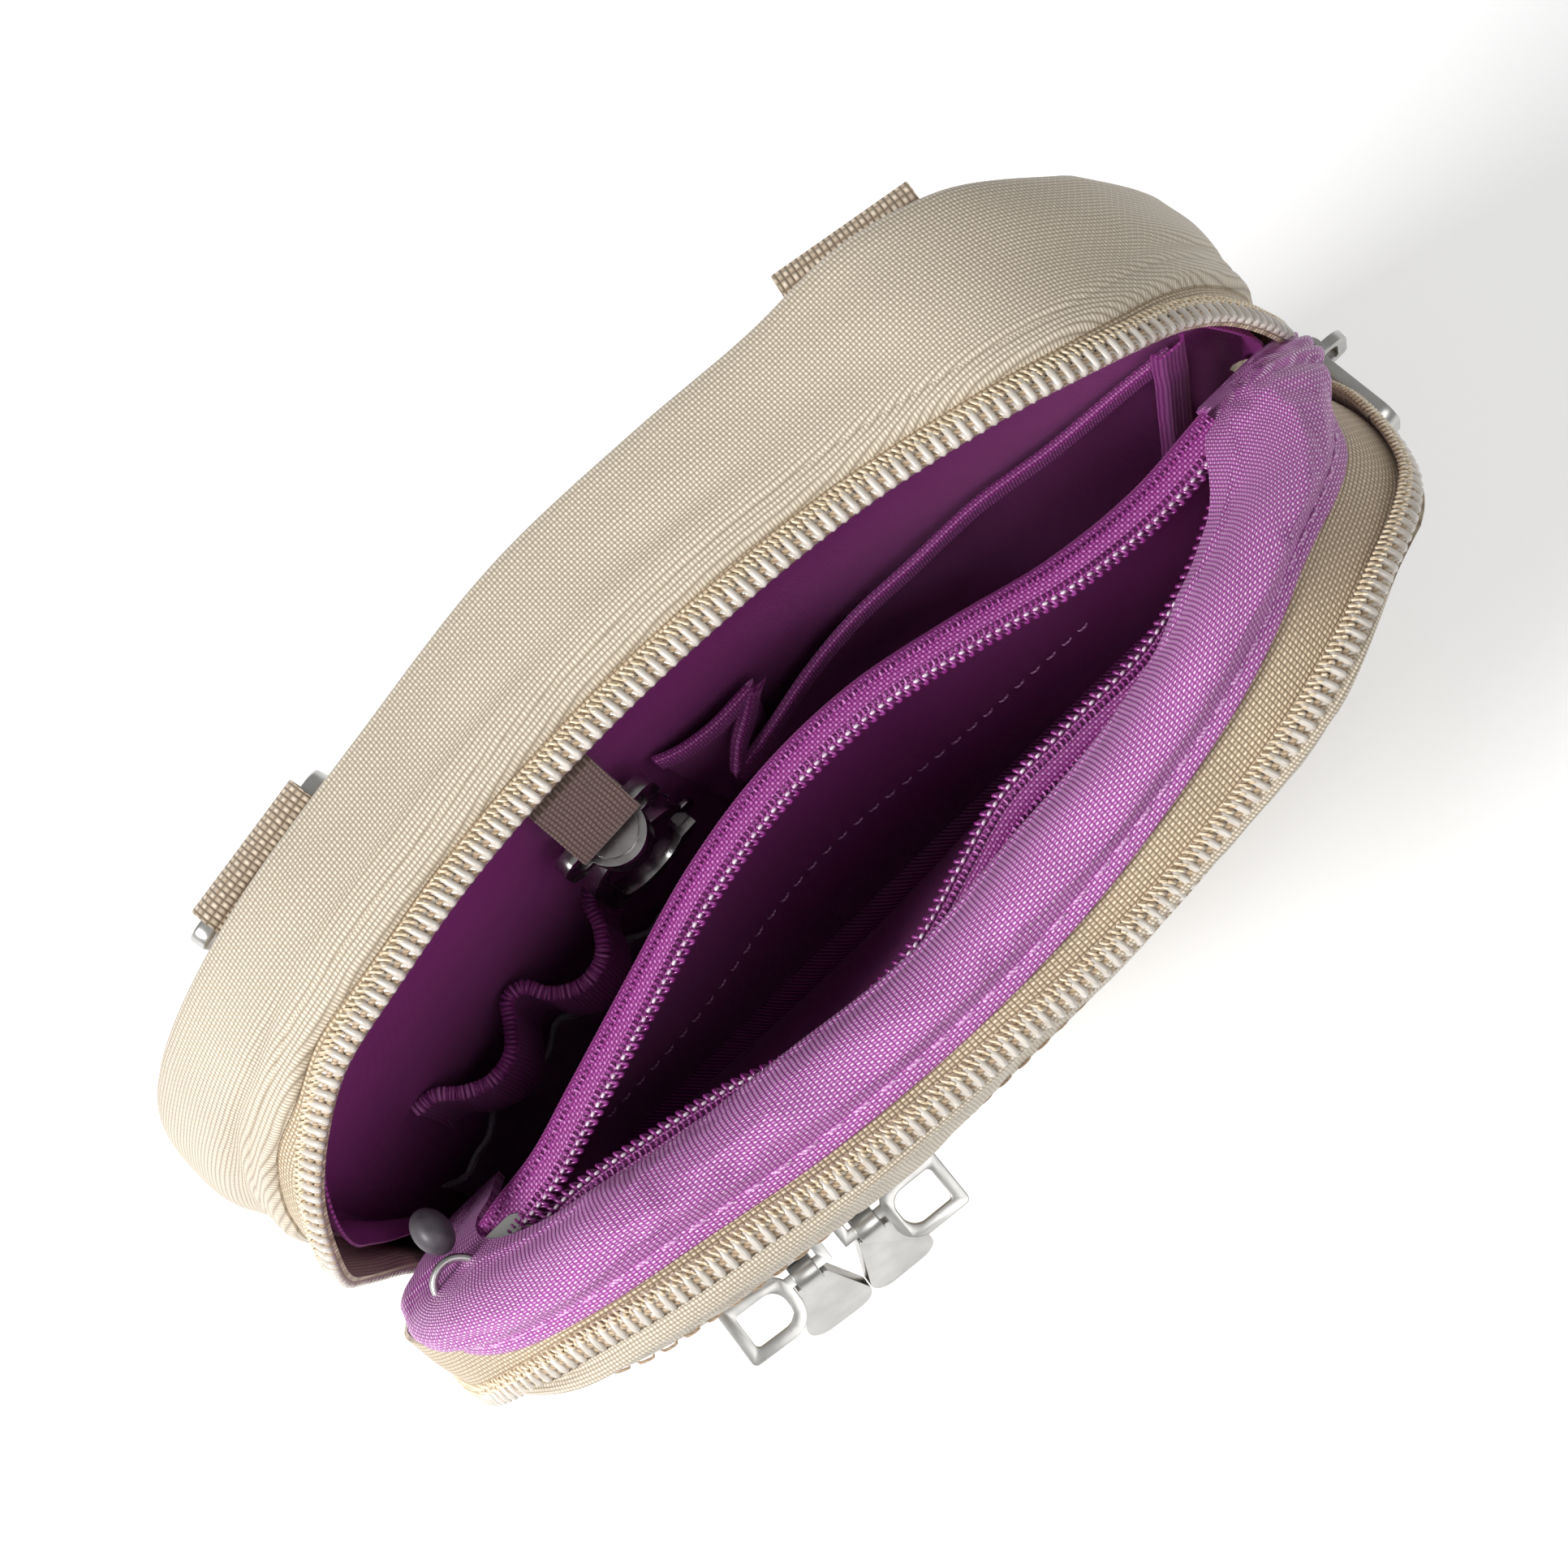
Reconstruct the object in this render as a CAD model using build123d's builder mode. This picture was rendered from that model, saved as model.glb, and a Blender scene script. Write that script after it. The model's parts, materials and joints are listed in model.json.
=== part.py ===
"""Neck pouch wallet: a padded nylon pouch with a zip round its mouth, standing open.

Frame: the origin is the centre of the flat base, X runs along the width, +Y is the
back (the padded side worn against the body), +Z is up. All sizes are in millimetres.
The back half stands upright. The front half is folded outward about a line across
the pouch at the zip's lower ends, and is drawn in its own leaning planes.
"""

from collections import namedtuple
from math import sqrt
import os

from build123d import *

os.makedirs("parts", exist_ok=True)

# ---------------------------------------------------------------- driving dimensions
bag_width = 170.0          # across the side walls of the back half
bag_height = 150.0         # base to the top of the arch
base_depth = 60.0          # front to back at the middle of the base
bow = 12.0                 # how far each big panel bulges between its side edges
top_radius = 38.0          # upper corners of both halves
foot_radius = 14.0         # lower corners
front_narrowing = 3.5      # each side of the front half stands this far inside the back half

nylon = 1.6                # outer fabric with its backing
padding = 2.6              # foam in the back panel
blocking = 0.4             # card-reader blocking sheet
lining = 0.8               # purple lining fabric
clearance = 0.3            # room between pieces that move past each other
side_overhang = 4.0        # cutting shapes reach this far past the side walls

fold_height = 40.0         # where the front half folds outward
fold_room = 0.4            # running gap above the fold line
lean_angle = 14.0          # how far the front half leans out when the pouch is open

gusset_width = 19.0        # nylon strip round the back half
tape_thick = 0.6
tape_showing = 2.0         # tape between the gusset's folded edge and the coil
coil_high = 1.6
coil_wide = 4.2
coil_proud = 0.6           # how far the coil stands out of the nylon
coil_slit = 0.8            # gap between the two sides of a closed coil


tray_depth = 11.0          # depth of the front half at its edge
pocket_room = 4.4          # hollow of the outside front pocket
front_padding_thick = 2.0
window_height = 10.0       # slit in the front face that the pocket zip fills
window_drop = 29.0         # its lower edge below the top of the arch
window_half = 70.0
half_coil = 1.4            # one side of the pocket zip's coil
pocket_tape = 4.0          # pocket zip tape hidden behind the panel's edge
pocket_swell = 3.0          # how far the slack pocket stands out between the fold and its zip
swell_half = 70.0
swell_low = 48.0
swell_drop = 9.0           # its upper edge below the pocket zip
swell_rim = 0.1            # it fades to this at its edges
swell_sunk = 0.5           # it reaches this far into the panel
bar_length = 36.0          # plain trim bar under the pocket zip
bar_height = 5.0
bar_thick = 1.4
bar_x = 13.0

lining_setback = 19.5      # the back lining hangs this far in front of the back face
inner_half = 72.0          # half width of the inside zip pocket
inner_low = 55.0
inner_drop = 32.0          # its open edges below the top of the arch
lip_room = 1.0             # room between the lip's ends and the pocket's ends
inner_front_bow = 3.0      # how far the pocket's front wall bulges back
inner_rear_reach = 24.0    # its rear wall's top edge, pushed back by the open mouth
inner_floor_reach = 9.0    # its rear wall's foot
inner_tape = 6.5
inner_coil = 1.4
inner_closed = 18.0        # at the left end the inside zip is closed and lies flat
inner_zip_margin = 4.0
facing_base = 6.0          # padded roll behind the front lip, its foot below the top of the arch
facing_side = 3.0          # height of its upright side
facing_crown = 3.0         # height of its sloped crown
facing_slope = 1.5         # how far each long edge of the crown is set in
facing_short = 10.0        # each end of the crown stops this far short of the foot's

slider_length = 10.0
slider_width = 8.4
slider_plate = 1.0
slider_post = 3.0          # wedge between the plates at the nose
lug_length = 9.5           # D-shaped lock eye on each slider
lug_height = 8.0
lug_bar = 1.6
bridge_bar = 1.4           # square bar that the pull's eye goes round
bridge_rise = 1.5          # open height under the bar
bridge_span = 4.6
pull_length = 15.0
pull_neck = 4.4
pull_end = 11.0
pull_thick = 1.8
eye_wall = 0.9
eye_length = 3.2
pull_angle = 35.0          # pocket pulls stand this far off the front face
main_pull_angle = 3.0      # main pull off the side wall
main_slider_drop = 60.0    # below the top of the arch, part way down the side
left_slider_x = -39.0
right_slider_x = -28.0
inner_slider_inset = 9.0   # from the pocket's left end
ring_wire = 0.6            # radius of the inside pull's ring wire
inner_ring_radius = 3.4
inner_tab_length = 14.0
inner_tab_width = 6.0
inner_tab_thick = 1.6
inner_tab_angle = 36.87     # the ring and tab hang this far below level

webbing_width = 20.0
webbing = 1.5
tab_x = 51.0               # strap tabs, left and right of the middle
tab_drop = 13.0            # each strap ring's upper bar below the top of the arch
tab_length = 34.0
ring_bar = 2.4
ring_depth = 12.0
ring_hang = 8.0             # each ring hangs this far out from the back

pocket_left = -3.0         # slip pocket on the back lining
pocket_right = 74.0
pocket_low = 30.0
pocket_high = 106.0
pocket_stand_off = 2.5     # the loaded pocket stands off the lining
binding_height = 4.0
binding_thick = 0.9
loop_low = 72.0            # elastic pen loops
loop_high = 95.0
loop_left = -62.0
loop_right = -28.0
loop_count = 2
loop_depth = 8.0
loop_thick = 0.8
id_left = -72.0            # clear window pocket under the pen loops
id_right = -18.0
id_low = 16.0
id_high = 58.0
id_thick = 0.4

hook_x = -19.0             # key tape and snap hook
key_tape_width = 10.0
key_tape_thick = 1.2
key_tape_drop = 22.0       # the hook's bar below the top of the arch
hook_off = 4.6             # hook's axis in front of the back lining
hook_loop_width = 16.0
hook_loop_height = 9.0
hook_wire = 2.0
collar_radius = 4.5
collar_height = 2.0
stud_radius = 1.5
stud_room = 0.05
hook_neck = 3.0
hook_outer = 8.0
hook_thick = 2.6
hook_bar = 2.6
hook_length = 26.0
hook_sunk = 1.0             # the neck reaches this far into the loop of the hook
gate_above = 5.0            # the gate's gap, above and below the middle of the hook
gate_below = 7.0
gate_slot = 1.6
gate_slot_height = 6.0
gate_thick = 0.9
pivot_rise = 1.5
thumb_width = 3.2           # raised thumb pad on the gate
thumb_height = 4.0
stud_head_radius = 3.6
stud_head_thick = 1.2
spring_wall = 0.6
spring_thick = 0.4
gate_pin_radius = 0.6

# ---------------------------------------------------------------- derived frame
back_y = base_depth / 2
front_y = -base_depth / 2
back_half_width = bag_width / 2
front_half_width = back_half_width - front_narrowing
zip_seam_y = back_y - gusset_width
coil_back_y = zip_seam_y - tape_showing
coil_front_y = coil_back_y - coil_wide
zip_low = fold_height + 2.0
slot = coil_high + tape_thick + 2 * clearance
lining_y = back_y - lining_setback
tray_y = front_y + tray_depth
window_low = bag_height - window_drop
inner_high = bag_height - inner_drop
facing_low = bag_height - facing_base
facing_shoulder = facing_low + facing_side
facing_top = facing_shoulder + facing_crown
main_slider_z = bag_height - main_slider_drop
tab_top = bag_height - tab_drop
key_tape_low = bag_height - key_tape_drop
inner_zip_start = inner_closed - inner_half
inner_zip_end = inner_half - inner_zip_margin
inner_slider_x = inner_slider_inset - inner_half

Half = namedtuple("Half", "plan face side half_width")

hinge_plane = Plane((0, front_y, fold_height)).rotated((lean_angle, 0, 0))
lean_origin = hinge_plane.from_local_coords((0, -front_y, -fold_height))
back = Half(Plane.XY, Plane.XZ, Plane.YZ, back_half_width)
front = Half(
    Plane(lean_origin, x_dir=hinge_plane.x_dir, z_dir=hinge_plane.z_dir),
    Plane(lean_origin, x_dir=hinge_plane.x_dir, z_dir=-hinge_plane.y_dir),
    Plane(lean_origin, x_dir=hinge_plane.y_dir, z_dir=hinge_plane.x_dir),
    front_half_width,
)


# ---------------------------------------------------------------- shared shapes
def save(name, piece):
    """Label a finished piece and write it under its own name."""
    piece.part.label = name
    export_step(piece.part, f"parts/{name}.step")


def arc_y(middle, bulge, x, half=back_half_width):
    """Where an arc that bulges at the middle lies at x; a negative bulge is a front arc."""
    radius = (half**2 + bulge**2) / (2 * abs(bulge))
    drop = radius - sqrt(radius**2 - x**2)
    return middle - drop if bulge > 0 else middle + drop


def plan_area(rear_y, rear_bow, fore_y, fore_bow, half=back_half_width, overhang=0.0):
    """Plan area between a rear arc and a fore arc, which can run on past the sides."""
    side = half + overhang
    rear_end = arc_y(rear_y, rear_bow, side, half)
    fore_end = arc_y(fore_y, fore_bow, side, half)
    with BuildSketch() as area:
        with BuildLine():
            rear = ThreePointArc((-side, rear_end), (0, rear_y), (side, rear_end))
            fore = ThreePointArc((side, fore_end), (0, fore_y), (-side, fore_end))
            Line(rear @ 1, fore @ 0)
            Line(fore @ 1, rear @ 0)
        make_face()
    return area.sketch


def arch(half, inset):
    """Face outline of a half, moved inward by inset."""
    side = half.half_width - inset
    top = bag_height - inset
    foot = foot_radius - inset
    shoulder = top_radius - inset
    corners = ((-side, inset), (side, inset), (side, top), (-side, top))
    with BuildSketch() as outline:
        with BuildLine():
            FilletPolyline(*corners, radius=[foot, foot, shoulder, shoulder], close=True)
        make_face()
    return outline.sketch


def shell_piece(half, inset, wall, low, high, rear, fore):
    """Part of a half's shell: its face outline between two heights, cut by two plan arcs.

    wall is the thickness of an edge strip, or None for a whole panel.
    rear and fore are (middle y, bow) of the arcs that bound it.
    """
    reach = half.half_width + top_radius
    with BuildPart() as piece:
        with BuildSketch(half.face):
            add(arch(half, inset))
            if wall:
                add(arch(half, inset + wall), mode=Mode.SUBTRACT)
            with Locations((0, (low + high) / 2)):
                Rectangle(2 * reach, high - low, mode=Mode.INTERSECT)
        extrude(amount=base_depth, both=True)
        with BuildSketch(half.plan.offset(-foot_radius)):
            add(plan_area(*rear, *fore, overhang=side_overhang))
        extrude(amount=bag_height + 2 * foot_radius, mode=Mode.INTERSECT)
    return piece


def hung_sheet(half, x_low, x_high, low, high, y, thick, bulge, reach=back_half_width):
    """A sheet that hangs upright along a plan arc, with its rear face at y.

    The arc bulges by bulge between x = -reach and x = reach.
    """
    with BuildPart() as sheet:
        with BuildSketch(half.face):
            with Locations(((x_low + x_high) / 2, (low + high) / 2)):
                Rectangle(x_high - x_low, high - low)
        extrude(amount=base_depth, both=True)
        with BuildSketch(half.plan):
            add(plan_area(y, bulge, y - thick, bulge, half=reach))
        extrude(amount=bag_height, mode=Mode.INTERSECT)
    return sheet


def bowed_frame(half, x, middle, bulge, height, nose):
    """Plane on a half's plan arc at x: its Z points outward, its X along the arc."""
    radius = (back_half_width**2 + bulge**2) / (2 * abs(bulge))
    outward = 1 if bulge > 0 else -1
    y = arc_y(middle, bulge, x)
    across = x / radius
    along = sqrt(1 - across**2)
    centre = half.plan.from_local_coords((x, y, height))
    normal = half.plan.from_local_coords((x + across, y + outward * along, height)) - centre
    tangent = half.plan.from_local_coords((x + nose * along, y - outward * nose * across, height)) - centre
    return Plane(centre, x_dir=tangent, z_dir=normal)


# ---------------------------------------------------------------- back half: nylon
# The padded back panel is the full arch shape; its gusset is the strip sewn round it.
inner_back = back_y - nylon
foam_back = inner_back - padding
save("back_panel", shell_piece(back, 0, None, 0, bag_height, (back_y, bow), (inner_back, bow)))
save("back_foam", shell_piece(back, nylon, None, nylon, bag_height, (inner_back, bow), (foam_back, bow)))
save("blocking_sheet", shell_piece(
    back, nylon, None, nylon, bag_height, (foam_back, bow), (foam_back - blocking, bow)))
save("back_gusset", shell_piece(
    back, 0, nylon, foot_radius, bag_height, (inner_back, bow), (zip_seam_y, bow)))

# The base strip joins both halves; below the fold the front wall and the sides are closed.
inner_front = front_y + nylon
save("base_panel", shell_piece(
    back, 0, nylon, 0, foot_radius, (inner_back, bow), (inner_front, -bow)))
save("lower_front_panel", shell_piece(
    back, 0, None, 0, fold_height, (inner_front, -bow), (front_y, -bow)))
save("lower_side_gussets", shell_piece(
    back, 0, nylon, foot_radius, fold_height, (zip_seam_y, bow), (inner_front, -bow)))

# ---------------------------------------------------------------- back half: main zip
# Tape and coil run up both sides and over the top, level with the nylon's inner face.
save("main_tape_back", shell_piece(
    back, nylon - tape_thick, tape_thick, zip_low, bag_height, (zip_seam_y, bow), (coil_front_y, bow)))
save("main_coil_back", shell_piece(
    back, -coil_proud, coil_high, zip_low, bag_height + coil_proud,
    (coil_back_y, bow), (coil_front_y, bow)))

# Two folded metal stops close the zip's lower ends, one on each side wall.
with BuildPart() as zip_stops:
    stop_y = arc_y(coil_front_y + coil_wide / 2, bow, back_half_width)
    stop_height = zip_low - fold_height
    for side in (-1, 1):
        with BuildSketch(Plane.XY.offset(fold_height)):
            with Locations((side * (back_half_width - nylon / 2), stop_y)):
                Rectangle(nylon, coil_wide)
        extrude(amount=stop_height)
save("zip_stops", zip_stops)

# ---------------------------------------------------------------- back half: lining
# The back lining hangs straight down from the zip seam, in front of the padded back.
lining_face = lining_y - lining
save("lining_back", shell_piece(
    back, nylon, None, nylon + lining, bag_height, (lining_y, bow), (lining_face, bow)))
save("lining_gusset", shell_piece(
    back, nylon, lining, nylon, fold_height, (lining_face, bow), (inner_front, -bow)))
save("lining_lower_front", shell_piece(
    back, nylon + lining, None, nylon + lining, fold_height,
    (inner_front + lining, -bow), (inner_front, -bow)))

# ---------------------------------------------------------------- slip pocket
# A flat pocket stands off the lining; its side gussets are the two folded pleats.
pocket_rear = lining_face - pocket_stand_off
pocket_face = pocket_rear - lining
with BuildPart() as slip_pocket:
    add(hung_sheet(back, pocket_left, pocket_right, pocket_low, pocket_high, pocket_rear, lining, bow).part)
    for end in (pocket_left, pocket_right - lining):
        add(hung_sheet(
            back, end, end + lining, pocket_low, pocket_high, lining_face, pocket_stand_off, bow).part)
    add(hung_sheet(
        back, pocket_left, pocket_right, pocket_low, pocket_low + lining,
        lining_face, pocket_stand_off, bow).part)
save("slip_pocket", slip_pocket)
save("slip_pocket_binding", hung_sheet(
    back, pocket_left, pocket_right, pocket_high - binding_height, pocket_high,
    pocket_face, binding_thick, bow))

# ---------------------------------------------------------------- pen loops
# One elastic band, sewn down at its ends and between the loops, stands out in waves.
with BuildPart() as pen_loops:
    pitch = (loop_right - loop_left) / loop_count
    with BuildSketch(Plane.XY.offset(loop_low)):
        for number in range(loop_count):
            start = loop_left + pitch * number
            wall_y = arc_y(lining_face, bow, start + pitch / 2)
            with Locations((start + pitch / 2, wall_y - loop_depth / 2)):
                RectangleRounded(pitch - 1.0, loop_depth, 3.4)
                RectangleRounded(pitch - 1.0 - 2 * loop_thick, loop_depth - 2 * loop_thick, 2.6,
                                 mode=Mode.SUBTRACT)
    extrude(amount=loop_high - loop_low)
    with BuildSketch(Plane.XY.offset(loop_low)):
        add(plan_area(back_y, bow, lining_face, bow))
    extrude(amount=loop_high - loop_low, mode=Mode.SUBTRACT)
save("pen_loops", pen_loops)
save("loop_binding", hung_sheet(
    back, loop_right + 1.0, loop_right + 11.0, loop_high - binding_height, loop_high,
    lining_face, binding_thick, bow))

# ---------------------------------------------------------------- clear window pocket
save("id_window", hung_sheet(back, id_left, id_right, id_low, id_high, lining_face, id_thick, bow))
save("id_binding", hung_sheet(
    back, id_left, id_right, id_high - binding_height, id_high,
    lining_face - id_thick, binding_thick, bow))

# ---------------------------------------------------------------- front half: outer face
# The face is split along the pocket zip: a top strip above it, the pocket panel below.
front_low = fold_height + fold_room
window_high = window_low + window_height
zip_middle = (window_low + window_high) / 2
window = hung_sheet(
    front, -window_half, window_half, window_low, window_high,
    inner_front + clearance, nylon + 2 * clearance, -bow)
with BuildPart() as front_top_strip:
    add(shell_piece(front, 0, None, zip_middle, bag_height, (inner_front, -bow), (front_y, -bow)).part)
    add(window.part, mode=Mode.SUBTRACT)
save("front_top_strip", front_top_strip)

# The pocket panel is slack, so it swells outward between the fold and the pocket zip.
swell_high = window_low - swell_drop
swell_bow = arc_y(front_y, -bow, swell_half) - front_y
with BuildPart() as pocket_panel:
    add(shell_piece(front, 0, None, front_low, zip_middle, (inner_front, -bow), (front_y, -bow)).part)
    add(window.part, mode=Mode.SUBTRACT)
    swell = ((swell_low, swell_rim), ((swell_low + swell_high) / 2, pocket_swell), (swell_high, swell_rim))
    for height, amount in swell:
        with BuildSketch(front.plan.offset(height)):
            add(plan_area(
                front_y + swell_sunk, -swell_bow, front_y - amount, -(swell_bow + amount - swell_rim / 2),
                half=swell_half))
    loft(ruled=True)
save("pocket_panel", pocket_panel)

# Pocket zip: a tape behind each edge, and half the coil on each tape.
tape_rear = inner_front + tape_thick
lower_edge = zip_middle - coil_slit / 2
upper_edge = zip_middle + coil_slit / 2
with BuildPart() as pocket_tapes:
    for low, high in ((window_low - pocket_tape, lower_edge), (upper_edge, window_high + pocket_tape)):
        add(hung_sheet(front, -window_half, window_half, low, high, tape_rear, tape_thick, -bow).part)
save("pocket_tapes", pocket_tapes)
with BuildPart() as pocket_coil:
    for low in (lower_edge - half_coil, upper_edge):
        add(hung_sheet(
            front, -window_half, window_half, low, low + half_coil, inner_front, coil_high, -bow).part)
save("pocket_coil", pocket_coil)

# Behind the pocket's hollow: its own lining, thin foam and the pouch's front lining.
pocket_back = inner_front + pocket_room
foam_front = pocket_back + lining
lining_front_y = foam_front + front_padding_thick
save("pocket_lining", shell_piece(
    front, nylon, None, front_low, bag_height, (foam_front, -bow), (pocket_back, -bow)))
save("front_foam", shell_piece(
    front, nylon, None, front_low, bag_height, (lining_front_y, -bow), (foam_front, -bow)))
save("front_lining", shell_piece(
    front, nylon, None, front_low, bag_height, (lining_front_y + lining, -bow), (lining_front_y, -bow)))
save("front_gusset", shell_piece(
    front, 0, nylon, front_low, bag_height, (tray_y, -bow), (inner_front, -bow)))

# The zip tape is turned back over the gusset, so its coil lies near the front edge.
tape_turn = tray_y - coil_wide - tape_showing
save("main_tape_front", shell_piece(
    front, -tape_thick, tape_thick, zip_low + fold_room, bag_height + tape_thick,
    (tray_y, -bow), (tape_turn, -bow)))
save("main_coil_front", shell_piece(
    front, -tape_thick - coil_proud, tape_thick + coil_proud, zip_low + fold_room,
    bag_height + tape_thick + coil_proud, (tape_turn, -bow), (tape_turn - coil_wide / 2, -bow)))

# ---------------------------------------------------------------- front half: inside
# The padded facing covers the lip, between the zip seam and the inside pocket's mouth.
lip_bow = arc_y(tray_y, -bow, inner_half) - tray_y
inner_end_y = tray_y + lip_bow + lip_room
inner_front_y = inner_end_y + inner_front_bow
inner_rear_y = inner_end_y + inner_rear_reach
inner_rear_bow = inner_rear_reach - lining
inner_floor_y = inner_end_y + inner_floor_reach
inner_floor_bow = inner_floor_reach - lining
coil_low = inner_high + inner_tape
coil_top = coil_low + inner_coil
crown_half = inner_half - facing_short
crown_rear_bow = inner_front_y - arc_y(inner_front_y, inner_front_bow, crown_half, inner_half)
crown_fore_bow = arc_y(tray_y, -lip_bow, crown_half, inner_half) - tray_y
with BuildPart() as front_facing:
    with BuildSketch(front.plan.offset(facing_low)):
        add(plan_area(inner_front_y, inner_front_bow, tray_y, -lip_bow, half=inner_half))
    extrude(amount=facing_side)
    with BuildSketch(front.plan.offset(facing_shoulder)):
        add(plan_area(inner_front_y, inner_front_bow, tray_y, -lip_bow, half=inner_half))
    with BuildSketch(front.plan.offset(facing_top)):
        add(plan_area(
            inner_front_y - facing_slope, crown_rear_bow, tray_y + facing_slope, -crown_fore_bow,
            half=crown_half))
    loft(ruled=True)
    add(hung_sheet(
        front, -inner_half, inner_half, coil_top, facing_shoulder,
        inner_front_y, lining, inner_front_bow, reach=inner_half).part)
    with BuildSketch(front.face):
        add(arch(front, 0))
    extrude(amount=base_depth, both=True, mode=Mode.INTERSECT)
save("front_facing", front_facing)

# Inside pocket: two walls that meet at the sides and a floor between them. The rear
# wall slopes forward to the floor, so the pocket is a wedge.
with BuildPart() as inner_pocket_rear:
    with BuildSketch(front.plan.offset(inner_low)):
        add(plan_area(
            inner_floor_y, inner_floor_bow, inner_floor_y - lining, inner_floor_bow, half=inner_half))
    with BuildSketch(front.plan.offset(inner_high)):
        add(plan_area(
            inner_rear_y, inner_rear_bow, inner_rear_y - lining, inner_rear_bow, half=inner_half))
    loft(ruled=True)
    with BuildSketch(front.plan.offset(inner_low)):
        add(plan_area(inner_floor_y, inner_floor_bow, inner_front_y, inner_front_bow, half=inner_half))
    extrude(amount=lining)
save("inner_pocket_rear", inner_pocket_rear)
save("inner_pocket_front", hung_sheet(
    front, -inner_half, inner_half, inner_low, inner_high,
    inner_front_y, lining, inner_front_bow, reach=inner_half))

# Its zip: tape and coil along each open edge.
for name, y, bulge in (("rear", inner_rear_y, inner_rear_bow), ("front", inner_front_y, inner_front_bow)):
    save(f"inner_tape_{name}", hung_sheet(
        front, inner_zip_start, inner_zip_end, inner_high, coil_low,
        y, tape_thick, bulge, reach=inner_half))
    save(f"inner_coil_{name}", hung_sheet(
        front, inner_zip_start, inner_zip_end, coil_low, coil_top,
        y, inner_coil, bulge, reach=inner_half))

# Where the inside zip is closed, at the left end, its tape lies flat under the slider.
flat_zip_z = inner_high + 2.5
flat_length = inner_zip_start + inner_half
flat_x = (inner_zip_start - inner_half) / 2
flat_y = inner_end_y + 4.0
with BuildPart() as inner_zip_closed:
    for side in (-1, 1):
        edge = flat_y + side * coil_slit / 2
        grow = Align.MIN if side > 0 else Align.MAX
        with BuildSketch(front.plan.offset(flat_zip_z)):
            with Locations((flat_x, edge)):
                Rectangle(flat_length, slider_width / 2 + 1.0, align=(Align.CENTER, grow))
        extrude(amount=tape_thick)
        with BuildSketch(front.plan.offset(flat_zip_z + tape_thick)):
            with Locations((flat_x, edge)):
                Rectangle(flat_length, inner_coil, align=(Align.CENTER, grow))
        extrude(amount=inner_coil)
    with BuildSketch(front.plan.offset(inner_high)):
        with Locations((-inner_half + lining, flat_y)):
            Rectangle(2 * lining, slider_width)
    extrude(amount=flat_zip_z - inner_high)
save("inner_zip_closed", inner_zip_closed)


# ---------------------------------------------------------------- trim bar
# A plain plated bar under the pocket zip, with a row of pressed grooves.
bar_frame = bowed_frame(front, bar_x, front_y, -bow, window_low - bar_height, 1)
groove_pitch = bar_length / 12
with BuildPart() as trim_bar:
    with BuildSketch(bar_frame.offset(clearance / 3)):
        RectangleRounded(bar_length, bar_height, bar_height / 2 - 0.1)
    extrude(amount=bar_thick)
    with BuildSketch(bar_frame.offset(bar_thick)):
        with GridLocations(groove_pitch, 1, 9, 1):
            Rectangle(groove_pitch / 3, bar_height - 2.0)
    extrude(amount=bar_thick, mode=Mode.SUBTRACT)
save("trim_bar", trim_bar)


# ---------------------------------------------------------------- sliders and pulls
slider_tip = slider_length / 2 - 0.4
lug_end = slider_tip - bridge_bar - bridge_span
eye_radius = bridge_bar / 2 * sqrt(2) + 0.1


def bar_height_over(opening):
    """Height of a slider's top bar over the middle of its coil."""
    return opening / 2 + slider_plate + bridge_rise + bridge_bar / 2


def slider(frame, opening):
    """A zip slider on a plane: X is its nose, Z points out of the fabric.

    Two plates hold the coil between them, a wedge joins them at the nose, and a bar
    along the top carries the pull and ends in a D-shaped lock eye.
    """
    top = opening / 2 + slider_plate
    sunk = slider_plate / 4
    length_plane = Plane(frame.origin, x_dir=frame.x_dir, z_dir=-frame.y_dir)
    lug_foot = top - sunk
    lug_top = top + lug_height
    lug_corners = ((lug_end, lug_foot), (lug_end, lug_top), (lug_end - lug_length, lug_top),
                   (lug_end - lug_length, lug_foot))
    hole_corners = ((lug_end - lug_bar, top + lug_bar), (lug_end - lug_bar, lug_top - lug_bar),
                    (lug_end - lug_length + lug_bar, lug_top - lug_bar),
                    (lug_end - lug_length + lug_bar, top + lug_bar))
    with BuildPart() as body:
        for start, amount in ((opening / 2, slider_plate), (-opening / 2, -slider_plate)):
            with BuildSketch(frame.offset(start)):
                RectangleRounded(slider_length, slider_width, slider_length / 4)
            extrude(amount=amount)
        with BuildSketch(frame.offset(-opening / 2)):
            with Locations((slider_tip - slider_post / 2, 0)):
                RectangleRounded(slider_post, coil_slit - 0.2, 0.25)
        extrude(amount=opening)
        with BuildSketch(length_plane):
            with Locations((slider_tip, lug_foot)):
                Rectangle(bridge_bar, bridge_rise + bridge_bar + sunk, align=(Align.MAX, Align.MIN))
            with Locations((slider_tip, top + bridge_rise)):
                Rectangle(slider_tip - lug_end + lug_bar, bridge_bar, align=(Align.MAX, Align.MIN))
            with BuildLine():
                FilletPolyline(*lug_corners, radius=[3.4, 3.4, 0.8, 0.8], close=True)
            make_face()
            with BuildLine():
                FilletPolyline(*hole_corners, radius=[2.0, 2.0, 0.6, 0.6], close=True)
            make_face(mode=Mode.SUBTRACT)
        extrude(amount=bridge_bar / 2, both=True)
    return body


def pull_frame(frame, opening, side, angle):
    """Plane of a pull's broad face, with its Y pointing away from the slider's bar."""
    centre = frame.origin + frame.z_dir * bar_height_over(opening)
    centre += frame.x_dir * (lug_end + bridge_span / 2)
    away = frame.y_dir.rotate(Axis((0, 0, 0), frame.x_dir), side * angle) * side
    return Plane(centre, x_dir=frame.x_dir, z_dir=frame.x_dir.cross(away))


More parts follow.
